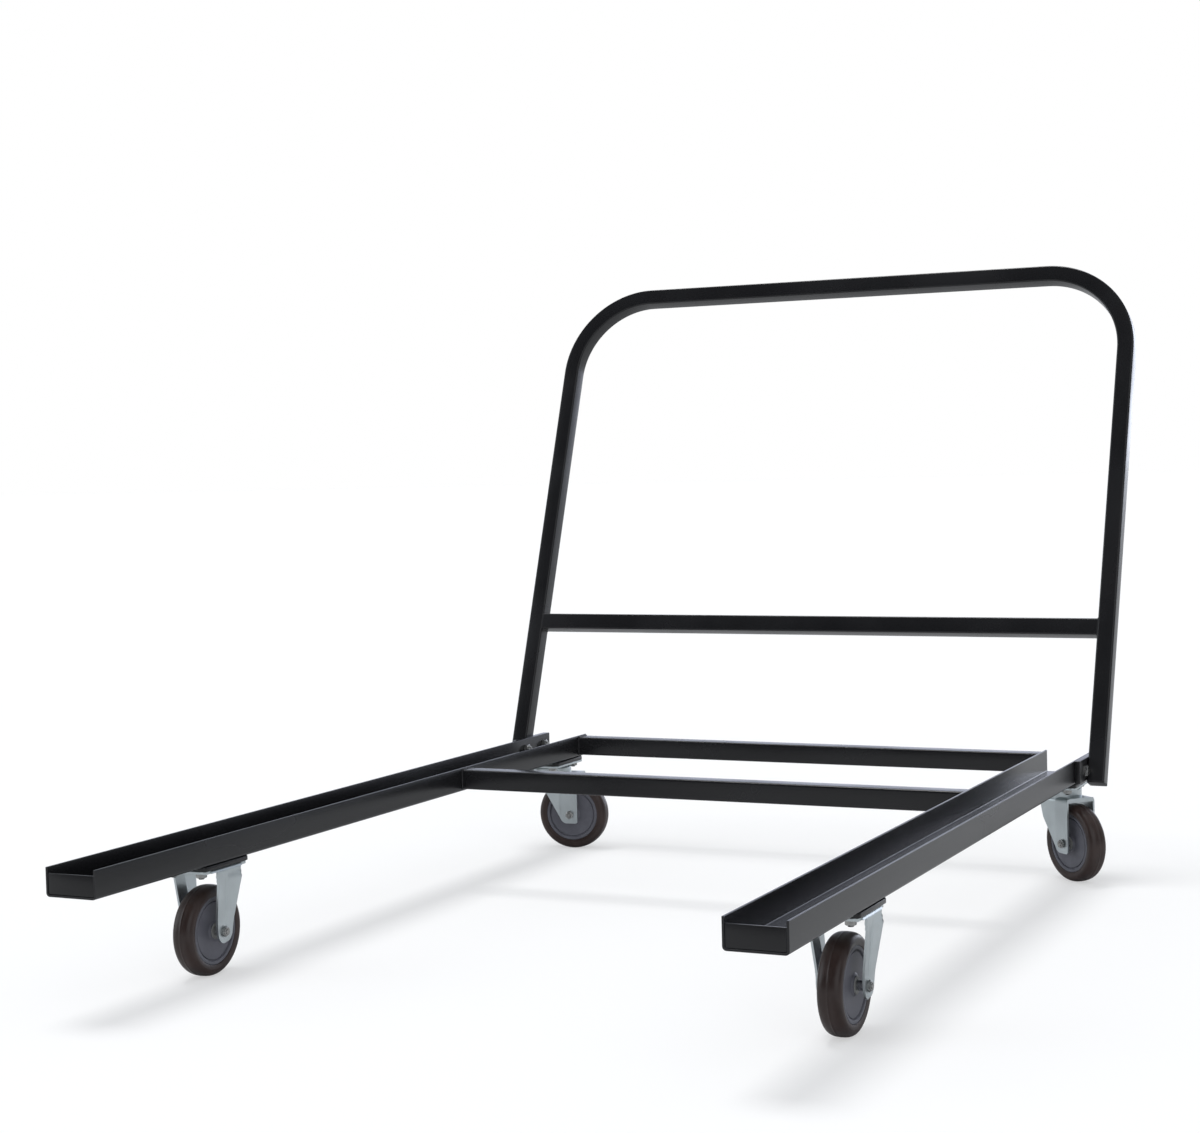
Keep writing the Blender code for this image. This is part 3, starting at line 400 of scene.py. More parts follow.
def caster_frame(caster, at_wheel):
    """X along the axle, Y along the trail and Z up, from the wheel's centre or from the floor at the pin."""
    spin = JOINTS[caster + "_wheel_spin"]
    axle = Vector(spin["axis"]).normalized()
    trail = Vector((0, 0, 1)).cross(axle)
    place = Vector(spin["pos_m"])
    if not at_wheel:
        pin = JOINTS.get(caster + "_swivel", spin)
        place = Vector((*pin["pos_m"][:2], 0))
    turn = Matrix((axle, trail, Vector((0, 0, 1)))).transposed().to_4x4()
    return Matrix.Translation(place) @ turn


print("rails", round(RAIL_WIDTH, 4), "x", round(RAIL_HEIGHT, 4), "x", round(RAIL_LENGTH, 4))
for caster in CASTERS:
    print(caster, [round(v, 4) for v in caster_frame(caster, True).translation])

# %% [markdown]
# ## Modelling helpers
# Most pieces follow one of three routes. A plate is an outline that is rounded at its corners, extruded and
# softened along its edges. A turned piece is an outline spun about an axis. A tube is a rounded loop that
# is extruded and spun along its path. All three end in the same call, which puts the piece in the scene.

# %% Bmesh helpers
EPS = 1e-6
# The clearance between neighbours, and the overlap of pieces that are one.
GAP = 0.0003


def verts_of(result):
    """The vertices in what an operator returned."""
    return [part for part in result["geom"] if isinstance(part, bmesh.types.BMVert)]


def edges_of(result, key="geom"):
    """The edges in what an operator returned."""
    return [part for part in result[key] if isinstance(part, bmesh.types.BMEdge)]


def verts_along(loop):
    """The vertices of some edges, each once."""
    return list({v for e in loop for v in e.verts})


def run_straight(bm, loop, vector):
    """Extrude a loop of edges along a vector; gives the new loop."""
    grown = bmesh.ops.extrude_edge_only(bm, edges=loop)
    verts = set(verts_of(grown))
    bmesh.ops.translate(bm, verts=list(verts), vec=vector)
    return [e for e in edges_of(grown) if all(v in verts for v in e.verts)]


def bevel(bm, geom, offset, segments, affect):
    """Round edges or vertices."""
    bmesh.ops.bevel(bm, geom=geom, offset=offset, offset_type="OFFSET", segments=segments, profile=0.5,
                    affect=affect, clamp_overlap=True, material=-1)


def round_corners(bm, verts, radius, segments):
    """Round the corners of an outline at these vertices."""
    bevel(bm, verts, radius, segments, "VERTICES")


def soften(bm, width, segments=2, angle=32):
    """Bevel every edge that is sharper than an angle."""
    sharp = [e for e in bm.edges if len(e.link_faces) == 2 and e.calc_face_angle(0) > radians(angle)]
    bevel(bm, sharp, width, segments, "EDGES")


def close_up(bm, dist=EPS):
    """Merge doubled vertices and turn the faces outwards."""
    bmesh.ops.remove_doubles(bm, verts=bm.verts, dist=dist)
    bmesh.ops.recalc_face_normals(bm, faces=bm.faces)
    return bm


def outline(points):
    """A flat face in XY through some points, with its vertices in their order."""
    bm = bmesh.new()
    verts = [bm.verts.new((x, y, 0)) for x, y in points]
    bm.faces.new(verts)
    return bm, verts


def thicken(bm, vector):
    """Extrude a flat face along a vector to a solid."""
    far = bmesh.ops.extrude_face_region(bm, geom=bm.faces[:])
    bmesh.ops.translate(bm, verts=verts_of(far), vec=vector)
    return close_up(bm)


def walled(bm, thickness):
    """Give an open sheet its thickness."""
    bmesh.ops.solidify(close_up(bm), geom=bm.faces[:], thickness=thickness)
    return bm


def to_mesh(name, bm):
    """A mesh from a bmesh, which is used up."""
    mesh = bpy.data.meshes.new(name)
    bm.to_mesh(mesh)
    bm.free()
    return mesh


def piece(name, bm, slot, body, replaces=(), paint=None, sharp=38, flat=False):
    """Put a bmesh in the scene as a finished piece that rides on a body; flat keeps its big faces even."""
    mesh = to_mesh(name, bm)
    mesh.shade_smooth()
    mesh.set_sharp_from_angle(angle=radians(sharp))
    mesh.materials.append(paint or FINISHES[slot])
    made = put(name, mesh)
    if flat:
        even = made.modifiers.new("even", "WEIGHTED_NORMAL")
        even.keep_sharp = True
    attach(made, body)
    if replaces:
        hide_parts(*replaces)
    print(name, sum(len(p.vertices) - 2 for p in mesh.polygons), "triangles")


print("helpers ready")

# %% [markdown]
# ## Plates, turned pieces and cuts
# A plate is an outline with its thickness, and a turned piece is half a section spun once round, as on a
# lathe. Where one shape has to be cut by another, or joined to it, an exact Boolean does what a press or a
# drill does to the real piece.

# %% Plates and turned pieces
CORNER_STEPS = 6
DRILL_STEPS = 32


def box_points(width, length):
    """The four corners of a rectangle about the origin."""
    x, y = width / 2, length / 2
    return [(-x, -y), (x, -y), (x, y), (-x, y)]


def plate(width, length, thickness, corner, rim):
    """A flat plate in XY from z = 0 up, with rounded corners and soft rims."""
    bm, verts = outline(box_points(width, length))
    round_corners(bm, verts, corner, CORNER_STEPS)
    thicken(bm, (0, 0, thickness))
    if rim:
        soften(bm, rim)
    return bm


def turned(profile, steps):
    """A solid spun about Z from a closed (r, z) outline. Edges on the axis itself are left out."""
    bm = bmesh.new()
    verts = [bm.verts.new((r, 0, z)) for r, z in profile]
    for pair in zip(verts, verts[1:] + verts[:1]):
        if any(v.co.x > EPS for v in pair):
            bm.edges.new(pair)
    bmesh.ops.spin(bm, geom=bm.verts[:] + bm.edges[:], cent=(0, 0, 0), axis=(0, 0, 1), dvec=(0, 0, 0),
                   angle=2 * pi, steps=steps, use_merge=True, use_duplicate=False)
    return close_up(bm)


def drill(radius, low, high):
    """A round cutter along Z between two heights."""
    return turned([(0, low), (radius, low), (radius, high), (0, high)], DRILL_STEPS)


def placed(bm, matrix):
    """Move a bmesh by a matrix."""
    bm.transform(matrix)
    return bm


def merged(parts):
    """One bmesh from several, each of which is used up."""
    whole = bmesh.new()
    for part in parts:
        mesh = to_mesh("part", part)
        whole.from_mesh(mesh)
        bpy.data.meshes.remove(mesh)
    return whole


def cut(base, tools, operation="DIFFERENCE"):
    """The exact Boolean of a bmesh with each tool, as a new bmesh."""
    made = [put("blank", to_mesh("blank", part)) for part in (base, *tools)]
    for tool in made[1:]:
        step = made[0].modifiers.new("cut", "BOOLEAN")
        step.operation = operation
        step.solver = "EXACT"
        step.object = tool
    graph = bpy.context.evaluated_depsgraph_get()
    graph.update()
    result = bpy.data.meshes.new_from_object(made[0].evaluated_get(graph))
    bm = bmesh.new()
    bm.from_mesh(result)
    for mesh in [result] + [obj.data for obj in made]:
        bpy.data.meshes.remove(mesh)
    return bm


LIE_DOWN = Matrix.Rotation(pi / 2, 4, "Y")
STAND_UP = Matrix.Rotation(pi / 2, 4, "X")
UPSIDE_DOWN = Matrix.Rotation(pi, 4, "X")
QUARTER_TURN = Matrix.Rotation(pi / 2, 4, "Z")
shift = Matrix.Translation
print("plate, turned, drill, placed, merged and cut ready")

# %% [markdown]
# ## The channels
# Each load channel is a strip of steel folded up on both sides. Its section is drawn once as a U-shaped
# outline: the outer corners take the fold's radius, the inner ones that radius less the wall, and the two
# lips a touch of paint-softened edge. Extruding the outline gives the whole rail.

# %% Channels
RAIL_WALL = 0.003
RAIL_BEND = 0.005
LIP_RADIUS = 0.0007
END_RIM = 0.0003


def channel(side):
    """One folded channel, open at the top and at both ends."""
    half, wall = RAIL_WIDTH / 2, RAIL_WALL
    inside = half - wall
    low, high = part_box(side + "_rail")
    centre = (low.x + high.x) / 2
    section = [(-half, RAIL_HEIGHT), (-half, 0), (half, 0), (half, RAIL_HEIGHT), (inside, RAIL_HEIGHT),
               (inside, wall), (-inside, wall), (-inside, RAIL_HEIGHT)]
    bm = bmesh.new()
    verts = [bm.verts.new((centre + x, FRONT_Y, DECK_BOTTOM + z)) for x, z in section]
    bm.faces.new(verts)
    round_corners(bm, [verts[1], verts[2]], RAIL_BEND, 8)
    inner = [v for v in bm.verts if abs(v.co.z - DECK_BOTTOM - wall) < EPS]
    round_corners(bm, inner, RAIL_BEND - wall, 6)
    lips = [v for v in bm.verts if abs(v.co.z - DECK_BOTTOM - RAIL_HEIGHT) < EPS]
    round_corners(bm, lips, LIP_RADIUS, 3)
    thicken(bm, (0, RAIL_LENGTH, 0))
    soften(bm, END_RIM, 1, 60)
    piece(side + "_channel", bm, "black_coat", "frame", [side + "_rail"])


for side in ("left", "right"):
    channel(side)

# %% [markdown]
# ## Weld beads
# Welds show as a row of small ripples along each joint. A bead is a little ring that is extruded step by
# step and swelled at every other step. Its centre lies in the corner between the two pieces, so most of it
# is buried, as in a real fillet.

# %% Weld beads
RIPPLE = 0.0026
BEAD_SIDES = 8
BEAD_END = 0.5
BEAD_DIP = 0.86
BEAD_SHARP = 70
FRONT_BEAD = 0.0013
TUBE_BEAD = 0.0018
PLATE_BEND = 0.003


def bead(bm, start, end, size):
    """A ripple bead between two points."""
    start, end = Vector(start), Vector(end)
    run = end - start
    count = max(4, 2 * round(run.length / RIPPLE))
    turn = run.to_track_quat("Z", "Y").to_matrix().to_4x4()
    circle = bmesh.ops.create_circle(bm, cap_ends=True, segments=BEAD_SIDES, radius=size * BEAD_END,
                                     matrix=shift(start) @ turn)
    ring = list({e for v in circle["verts"] for e in v.link_edges})
    for step in range(1, count + 1):
        ring = run_straight(bm, ring, run / count)
        verts = verts_along(ring)
        swell = BEAD_END if step == count else (1.0 if step % 2 else BEAD_DIP)
        centre = start + run * step / count
        radius = (verts[0].co - centre).length
        bmesh.ops.scale(bm, verts=verts, vec=(swell * size / radius,) * 3, space=shift(-centre))
    bmesh.ops.edgeloop_fill(bm, edges=ring)


def bead_round(bm, points, size):
    """Beads from point to point."""
    for start, end in zip(points, points[1:]):
        bead(bm, start, end, size)


def tube_beads(bm, node, side):
    """The bead round the end of a cross tube where it meets a channel."""
    low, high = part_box(node)
    x = low.x if side == "left" else high.x
    corners = [(x, low.y, low.z), (x, low.y, high.z), (x, high.y, high.z), (x, high.y, low.z)]
    bead_round(bm, corners, TUBE_BEAD)


def end_beads(bm, side):
    """The bead down the sides and along the bottom of a channel's end plate, on its inner side."""
    low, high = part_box(side + "_front_plate")
    y, bend = high.y, PLATE_BEND
    bead_round(bm, [(low.x, y, high.z), (low.x, y, low.z + bend), (low.x + bend, y, low.z),
                    (high.x - bend, y, low.z), (high.x, y, low.z + bend), (high.x, y, high.z)], FRONT_BEAD)


bm = bmesh.new()
for side in ("left", "right"):
    tube_beads(bm, "front_cross_tube", side)
    tube_beads(bm, "rear_cross_tube", side)
    end_beads(bm, side)
piece("deck_weld_beads", close_up(bm), "black_coat", "frame", sharp=BEAD_SHARP)

# %% [markdown]
# ## Square tubes
# The cross tubes and the handle are square tube with rounded edges. A loop with rounded corners is
# extruded along each straight run. At a bend the same loop is spun about the bend's centre, which keeps
# its section square all the way round, as a mandrel bender does.

# %% Square tube helpers
TUBE_CORNER = 0.0035
BEND_STEPS = 32


def square_loop(bm, width, corner, matrix):
    """The edges of a rounded square loop about the origin of a matrix, in its XY plane."""
    verts = [bm.verts.new((x, y, 0)) for x, y in box_points(width, width)]
    bm.faces.new(verts)
    round_corners(bm, verts, corner, CORNER_STEPS)
    bmesh.ops.delete(bm, geom=bm.faces[:], context="FACES_ONLY")
    bmesh.ops.transform(bm, matrix=matrix, verts=bm.verts[:])
    return bm.edges[:]


def run_bend(bm, loop, centre):
    """Spin a loop of edges by a quarter turn about a bend's centre; gives the last loop."""
    made = bmesh.ops.spin(bm, geom=verts_along(loop) + loop, cent=centre, axis=(0, 1, 0), dvec=(0, 0, 0),
                          angle=pi / 2, steps=BEND_STEPS, use_merge=False, use_duplicate=False)
    return edges_of(made, "geom_last")


def tube_along_x(place, length, width, corner):
    """A capped square tube that starts at a place and runs along X."""
    bm = bmesh.new()
    loop = square_loop(bm, width, corner, shift(place) @ LIE_DOWN)
    end = run_straight(bm, loop, (length, 0, 0))
    for rim in (loop, end):
        bmesh.ops.edgeloop_fill(bm, edges=rim)
    return close_up(bm)


for word in ("front", "rear"):
    low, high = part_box(word + "_cross_tube")
    centre = (low + high) / 2
    bm = tube_along_x((low.x, centre.y, centre.z), high.x - low.x, high.z - low.z, TUBE_CORNER)
    piece(word + "_tie_tube", bm, "black_coat", "frame", [word + "_cross_tube"])

# %% [markdown]
# ## The handle hoop
# The hoop is one length of square tube with two mandrel bends. It is drawn upright in a frame of its own,
# which stands on the deck and leans back by about twenty degrees, so that every number in it stays simple.
# Its loop is extruded up the first leg, spun round the bend, extruded across, spun again and run down.
# Solidify then gives the shell its wall.

# %% Hoop
TUBE = 0.028
TUBE_WALL = 0.002
HANDLE_CORNER = 0.003
HOOP_HALF = 0.523
HOOP_BEND = 0.146
HOOP_TOP = 0.894
HOOP_SETBACK = 0.082
HOOP_RISE = 0.0023
LEAN = radians(20.5)
STAND = shift((MIDDLE_X, REAR_Y - HOOP_SETBACK, DECK_BOTTOM + HOOP_RISE)) @ Matrix.Rotation(-LEAN, 4, "X")

leg_top = HOOP_TOP - HOOP_BEND
bend_x = HOOP_HALF - HOOP_BEND
bm = bmesh.new()
loop = square_loop(bm, TUBE, HANDLE_CORNER, shift((-HOOP_HALF, TUBE / 2, 0)))
loop = run_straight(bm, loop, (0, 0, leg_top))
loop = run_bend(bm, loop, (-bend_x, 0, leg_top))
loop = run_straight(bm, loop, (2 * bend_x, 0, 0))
loop = run_bend(bm, loop, (bend_x, 0, leg_top))
run_straight(bm, loop, (0, 0, -leg_top))
piece("handle_loop", placed(walled(bm, TUBE_WALL), STAND), "black_coat", "frame", ["handle_hoop"])

# %% [markdown]
# ## The crossbar and the feet
# A straight piece of the same tube ties the legs and is welded in between them. Each leg ends in a moulded
# plug whose flange shows as a thin black sole.

# %% Crossbar and feet
BAR_UP = 0.243
HANDLE_BEAD = 0.0015
BEAD_INSET = 0.002
SOLE_LOW = -0.0028
SOLE_THICK = 0.0025
SOLE_RIM = 0.0006
STEM_WIDTH = 0.0234
STEM_LENGTH = 0.016
STEM_CORNER = 0.001
STEM_RISE = 0.0005

inner = HOOP_HALF - TUBE / 2
bm = tube_along_x((-inner, TUBE / 2, BAR_UP + TUBE / 2), 2 * inner, TUBE, HANDLE_CORNER)
piece("handle_tie", placed(bm, STAND), "black_coat", "frame", ["handle_crossbar"])

bm = bmesh.new()
near, far = BEAD_INSET, TUBE - BEAD_INSET
for x in (-inner, inner):
    corners = [(x, near, BAR_UP), (x, near, BAR_UP + TUBE), (x, far, BAR_UP + TUBE), (x, far, BAR_UP)]
    bead_round(bm, corners + corners[:1], HANDLE_BEAD)
piece("handle_weld_beads", placed(close_up(bm), STAND), "black_coat", "frame", sharp=BEAD_SHARP)


def foot(word, x):
    """The moulded plug in a leg: a thin sole under the tube and a stem inside it."""
    place = shift((x, TUBE / 2, SOLE_LOW))
    sole = plate(TUBE, TUBE, SOLE_THICK, HANDLE_CORNER, SOLE_RIM)
    stem = plate(STEM_WIDTH, STEM_WIDTH, STEM_LENGTH, STEM_CORNER, 0)
    bm = cut(placed(sole, place), [placed(stem, place @ shift((0, 0, STEM_RISE)))], "UNION")
    piece(word + "_leg_plug", placed(bm, STAND), "plug", "frame", [word + "_foot_plug"])


foot("left", -HOOP_HALF)
foot("right", HOOP_HALF)

# %% [markdown]
# ## End plates and handle bars
# Flat plates close the front of each channel, and a flat bar outside each rail carries a leg of the hoop.
# Both are outlines with rounded corners, extruded by their thickness. A quarter turn stands a plate up.

# %% End plates and bars
END_CORNER = 0.0026
END_PLATE_RIM = 0.0006
BAR_CORNER = 0.0015
BAR_RIM = 0.0005


def end_plate(side):
    """The plate welded into the front end of a channel, with rounded lower corners."""
    low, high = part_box(side + "_front_plate")
    centre = (low + high) / 2
    bm, verts = outline(box_points(high.x - low.x, high.z - low.z))
    round_corners(bm, verts[:2], END_CORNER, 5)
    thicken(bm, (0, 0, high.y - low.y))
    soften(bm, END_PLATE_RIM, 3)
    placed(bm, shift((centre.x, high.y, centre.z)) @ STAND_UP)
    piece(side + "_end_plate", bm, "black_coat", "frame", [side + "_front_plate"])


def leg_bar(side):
    """The flat bar between a rail and a leg."""
    low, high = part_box(side + "_handle_bar")
    centre = (low + high) / 2
    bm = plate(high.y - low.y, high.z - low.z, high.x - low.x, BAR_CORNER, BAR_RIM)
    placed(bm, shift((low.x, centre.y, centre.z)) @ QUARTER_TURN @ STAND_UP)
    piece(side + "_leg_bar", bm, "black_coat", "frame", [side + "_handle_bar"])


for side in ("left", "right"):
    end_plate(side)
    leg_bar(side)

# %% [markdown]
# ## Bolts and nuts
# A forged hexagon has its corners turned off by a cone, which leaves the curved arcs seen on every bolt
# head. The exact way to get them is to intersect a hexagonal prism with a turned cone. Threads are rings,
# cut into the outline before it is spun, because a few ridges past a nut are all that shows.

# %% Fasteners
M8 = {"shank": 0.0040, "flats": 0.013, "head": 0.0053, "nut": 0.0065, "pitch": 0.00125}
M10 = {"shank": 0.0050, "flats": 0.016, "head": 0.0064, "nut": 0.0080, "pitch": 0.0015}
M12 = {"shank": 0.0060, "flats": 0.018, "nut": 0.0080}
# The cone that turns the corners off, as shares of the width across flats.
CONE_FLAT = 0.47
CONE_WIDE = 0.62
CONE_DROP = 0.55
CONE_BELOW = 0.001
# A thread's root and its chamfered end, as shares of the shank's radius.
THREAD_ROOT = 0.88
THREAD_END = 0.80
# A lock nut's body and collar, as shares of its height, and the collar's radii.
NUT_BODY = 0.72
COLLAR_LOW = 0.5
COLLAR_SHOULDER = 0.9
COLLAR_WIDE = 0.46
COLLAR_TOP = 0.9
COLLAR_BORE = 0.98


def hexagon(flats, low, high, both=False):
    """A hexagonal prism along Z with its top corners turned off, or both ends."""
    prism = bmesh.new()
    bmesh.ops.create_circle(prism, cap_ends=True, segments=6, radius=flats / 3 ** 0.5)
    thicken(prism, (0, 0, high - low))
    flat, wide = flats * CONE_FLAT, flats * CONE_WIDE
    drop = (wide - flat) * CONE_DROP
    start = [(0, low - CONE_BELOW), (wide, low - CONE_BELOW)]
    if both:
        start = [(0, low), (flat, low), (wide, low + drop)]
    cone = turned(start + [(wide, high - drop), (flat, high), (0, high)], 48)
    return cut(placed(prism, shift((0, 0, low))), [cone], "INTERSECT")


def threaded(size, low, high, plain):
    """A shank along Z that is plain up to a height and then ridged to its chamfered end."""
    radius, pitch = size["shank"], size["pitch"]
    profile = [(0, low), (radius, low), (radius, plain)]
    z = plain + pitch / 2
    while z < high - pitch:
        profile += [(radius * THREAD_ROOT, z), (radius, z + pitch / 2)]
        z += pitch
    profile += [(radius * THREAD_ROOT, z), (radius * THREAD_END, high), (0, high)]
    return turned(profile, 24)


def hex_bolt(size, length, plain):
    """A bolt whose head stands on Z = 0 and whose shank hangs below it."""
    shank = placed(threaded(size, -GAP, length, plain), UPSIDE_DOWN)
    return merged([hexagon(size["flats"], 0, size["head"]), shank])


def lock_nut(size, low):
    """A nut with a turned collar that holds its locking ring."""
    tall, bore, wide = size["nut"], size["shank"] * COLLAR_BORE, size["flats"] * COLLAR_WIDE
    body = hexagon(size["flats"], low, low + tall * NUT_BODY, True)
    base, shoulder, top = low + tall * COLLAR_LOW, low + tall * COLLAR_SHOULDER, low + tall
    collar = turned([(bore, base), (wide, base), (wide, shoulder), (wide * COLLAR_TOP, top), (bore, top)], 32)
    return merged([body, collar])


print("fastener helpers ready")

# %% [markdown]
# ## Handle bolts
# Two bolts on each side hold the handle to its rail, with their heads outside and their lock nuts inside.
# Both are made upright on a flat seat and then turned over to lie across the cart. Their places come from
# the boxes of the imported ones.

# %% Handle bolts
BOLT_PLAIN = 0.012


def across_cart(side, x, centre):
    """The frame of a seat whose Z points along the cart's width, outwards or inwards."""
    return shift((x, centre.y, centre.z)) @ Matrix.Rotation(side * pi / 2, 4, "Y")


for side, word in ((-1, "left"), (1, "right")):
    for spot in ("front", "rear"):
        low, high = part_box(f"{word}_handle_bolt_{spot}")
        centre = (low + high) / 2
        outer = high.x if side > 0 else low.x
        seat = across_cart(side, outer - side * M10["head"], centre)
        bolt = hex_bolt(M10, high.x - low.x - M10["head"], BOLT_PLAIN)
        piece(f"{word}_leg_bolt_{spot}", placed(bolt, seat), "zinc", "frame",
              [f"{word}_handle_bolt_{spot}"], paint=BOLT_ZINC)
        nut_low, nut_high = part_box(f"{word}_handle_nut_{spot}")
        inner = nut_low.x if side > 0 else nut_high.x
        seat = across_cart(-side, inner + side * M10["nut"], centre)
        piece(f"{word}_leg_nut_{spot}", placed(lock_nut(M10, 0), seat), "zinc", "frame",
              [f"{word}_handle_nut_{spot}"], paint=BOLT_ZINC)

# %% [markdown]
# ## Wheels
# A wheel is a stack of turned parts. The tread is a tyre with round shoulders, a flatter crown and a faint
# line where its two mould halves met. The hub is one nylon moulding: a flat web, a groove, a raised ring
# that holds the tread, and a short boss for the bush. Each outline is spun about Z and then laid along the
# axle.

# %% Wheel parts
TREAD_HALF = 0.016
SHOULDER_DEPTH = 0.0125
CROWN_POWER = 0.70
TYRE_STEPS = 28
TYRE_START = 0.10
PARTING_LINE = 0.00012
LINE_HALF = 0.0004
LINE_TOP = 0.0002
TYRE_BORE = 0.047
RING_FACE = 0.0142
RING_WIDTH = 0.0055
WEB_FACE = 0.0125
WEB_START = 0.0145
GROOVE_FACE = WEB_FACE - 0.0016
BOSS_FACE = 0.0146
BOSS_RADIUS = 0.0116
BUSH_RADIUS = 0.0095
FLANGE_RADIUS = 0.0111
FLANGE_LOW = BOSS_FACE + GAP
FLANGE_THICK = 0.0010
SLEEVE_RADIUS = 0.0062
SLEEVE_PLAY = 0.00005
SPIN_STEPS = 96


def tyre():
    """The tread, spun from a bore line, round shoulders and a flatter crown with a parting line."""
    low = WHEEL_RADIUS - PARTING_LINE
    profile = []
    for step in range(TYRE_STEPS + 1):
        a = (pi / 2 - TYRE_START) * (1 - 2 * step / TYRE_STEPS)
        across = copysign(abs(sin(a)) ** CROWN_POWER, a)
        profile.append((low - SHOULDER_DEPTH * (1 - cos(a) ** CROWN_POWER), TREAD_HALF * across))
    middle = TYRE_STEPS // 2
    profile[middle:middle + 1] = [(low, LINE_HALF), (WHEEL_RADIUS, LINE_TOP), (WHEEL_RADIUS, -LINE_TOP),
                                  (low, -LINE_HALF)]
    return turned([(TYRE_BORE, RING_FACE), *profile, (TYRE_BORE, -RING_FACE)], SPIN_STEPS)


def hub():
    """The nylon hub, from its boss out over the web and the groove to the ring under the tread."""
    rim = TYRE_BORE - GAP
    groove = rim - RING_WIDTH
    half = [(BUSH_RADIUS, BOSS_FACE), (BOSS_RADIUS, BOSS_FACE), (BOSS_RADIUS + 0.0012, WEB_FACE + 0.0012),
            (WEB_START, WEB_FACE), (groove - 0.0022, WEB_FACE), (groove - 0.0012, GROOVE_FACE),
            (groove - 0.0002, GROOVE_FACE), (groove + 0.0008, RING_FACE - 0.0004),
            (groove + 0.0016, RING_FACE), (rim - 0.0008, RING_FACE), (rim, RING_FACE - 0.0006)]
    return turned(half + [(r, -z) for r, z in reversed(half)], SPIN_STEPS)


def bush():
    """The plain bearing bush: a thin flange on the boss and a tube through it."""
    bore, tube, top = SLEEVE_RADIUS + SLEEVE_PLAY, BUSH_RADIUS - 0.0002, FLANGE_LOW + FLANGE_THICK
    return turned([(bore, top), (FLANGE_RADIUS - 0.0005, top), (FLANGE_RADIUS, top - 0.0004),
                   (FLANGE_RADIUS, FLANGE_LOW), (tube, FLANGE_LOW), (tube, -BOSS_FACE),
                   (bore, -BOSS_FACE)], 48)


for caster in CASTERS:
    turn = caster_frame(caster, True) @ LIE_DOWN
    wheel = caster + "_wheel"
    piece(caster + "_tread", placed(tyre(), turn), "tread", wheel, [caster + "_tyre"])
    piece(caster + "_wheel_hub", placed(hub(), turn), "hub", wheel, [caster + "_hub"], sharp=30)
    piece(caster + "_bush", placed(bush(), turn), "bearing", wheel, [caster + "_bearing"])

# %% [markdown]
# ## Axles
# Each wheel turns on a steel sleeve that the axle bolt clamps between the fork's legs. The bolt enters from
# one side, and its lock nut and the last threads show on the other. Where the head, the nut and the sleeve
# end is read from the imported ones, along the axle.

# %% Axles
THIN_M8 = {**M8, "nut": 0.0050}
TIP_PAST_NUT = 0.0009
AXLE_SPUN = Matrix.Rotation(0.35, 4, "Z")
AXLE_HOLE = 0.0042
AXLE_BODY = {"front_left": "frame", "front_right": "frame", "rear_left": "rear_left_caster",
             "rear_right": "rear_right_caster"}


def reach(node, base):
    """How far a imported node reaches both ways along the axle, from the wheel's centre."""
    axle = base.to_3x3() @ Vector((1, 0, 0))
    values = [axle.dot(v.co) - axle.dot(base.translation) for v in frame["nodes"][node].data.vertices]
    return min(values), max(values)


for caster in CASTERS:
    body, base = AXLE_BODY[caster], caster_frame(caster, True)
    turn = base @ LIE_DOWN
    seat = reach(caster + "_axle_bolt", base)[0] + M8["head"]
    nut_low = reach(caster + "_axle_nut", base)[0]
    end = reach(caster + "_sleeve", base)[1]
    bolt = hex_bolt(M8, nut_low + THIN_M8["nut"] + TIP_PAST_NUT - seat, 2 * end)
    piece(caster + "_axle_screw", placed(bolt, turn @ shift((0, 0, seat)) @ UPSIDE_DOWN @ AXLE_SPUN), "zinc",
          body, [caster + "_axle_bolt"], paint=BOLT_ZINC)
    nut = lock_nut(THIN_M8, nut_low)
    piece(caster + "_axle_locknut", placed(nut, turn @ AXLE_SPUN), "zinc", body, [caster + "_axle_nut"],
          paint=BOLT_ZINC)
    sleeve = turned([(AXLE_HOLE, -end), (SLEEVE_RADIUS, -end), (SLEEVE_RADIUS, end), (AXLE_HOLE, end)], 40)
    piece(caster + "_axle_sleeve", placed(sleeve, turn), "steel", body, [caster + "_sleeve"])

# %% [markdown]
# ## Pads and studs
# A black pad is welded under each rail, with four studs that hang from it. The nuts on them are plated, so
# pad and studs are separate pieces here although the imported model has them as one.

# %% Pads
PAD_WIDTH = 0.076
PAD_LENGTH = 0.105
PAD_LOW = 0.1532
PAD_THICK = 0.006
PAD_CORNER = 0.008
PAD_RIM = 0.0007
PLATE_TOP = 0.1529
PLATE_THICK = 0.0035
SHEET = 0.003
STUD_X = 0.023
STUD_Y = 0.040
STUD_PAST_NUT = 0.002
STUD_IN_PAD = 0.001
NUT_SPIN = 0.4
NUT_SPIN_STEP = 0.5
CLAMPED = {"front_left": SHEET, "front_right": SHEET, "rear_left": PLATE_THICK, "rear_right": PLATE_THICK}


def seat_frame(caster):
    """The frame of what is bolted to the rail: on the floor under the pad, square to the cart."""
    return shift(caster_frame(caster, False).translation)


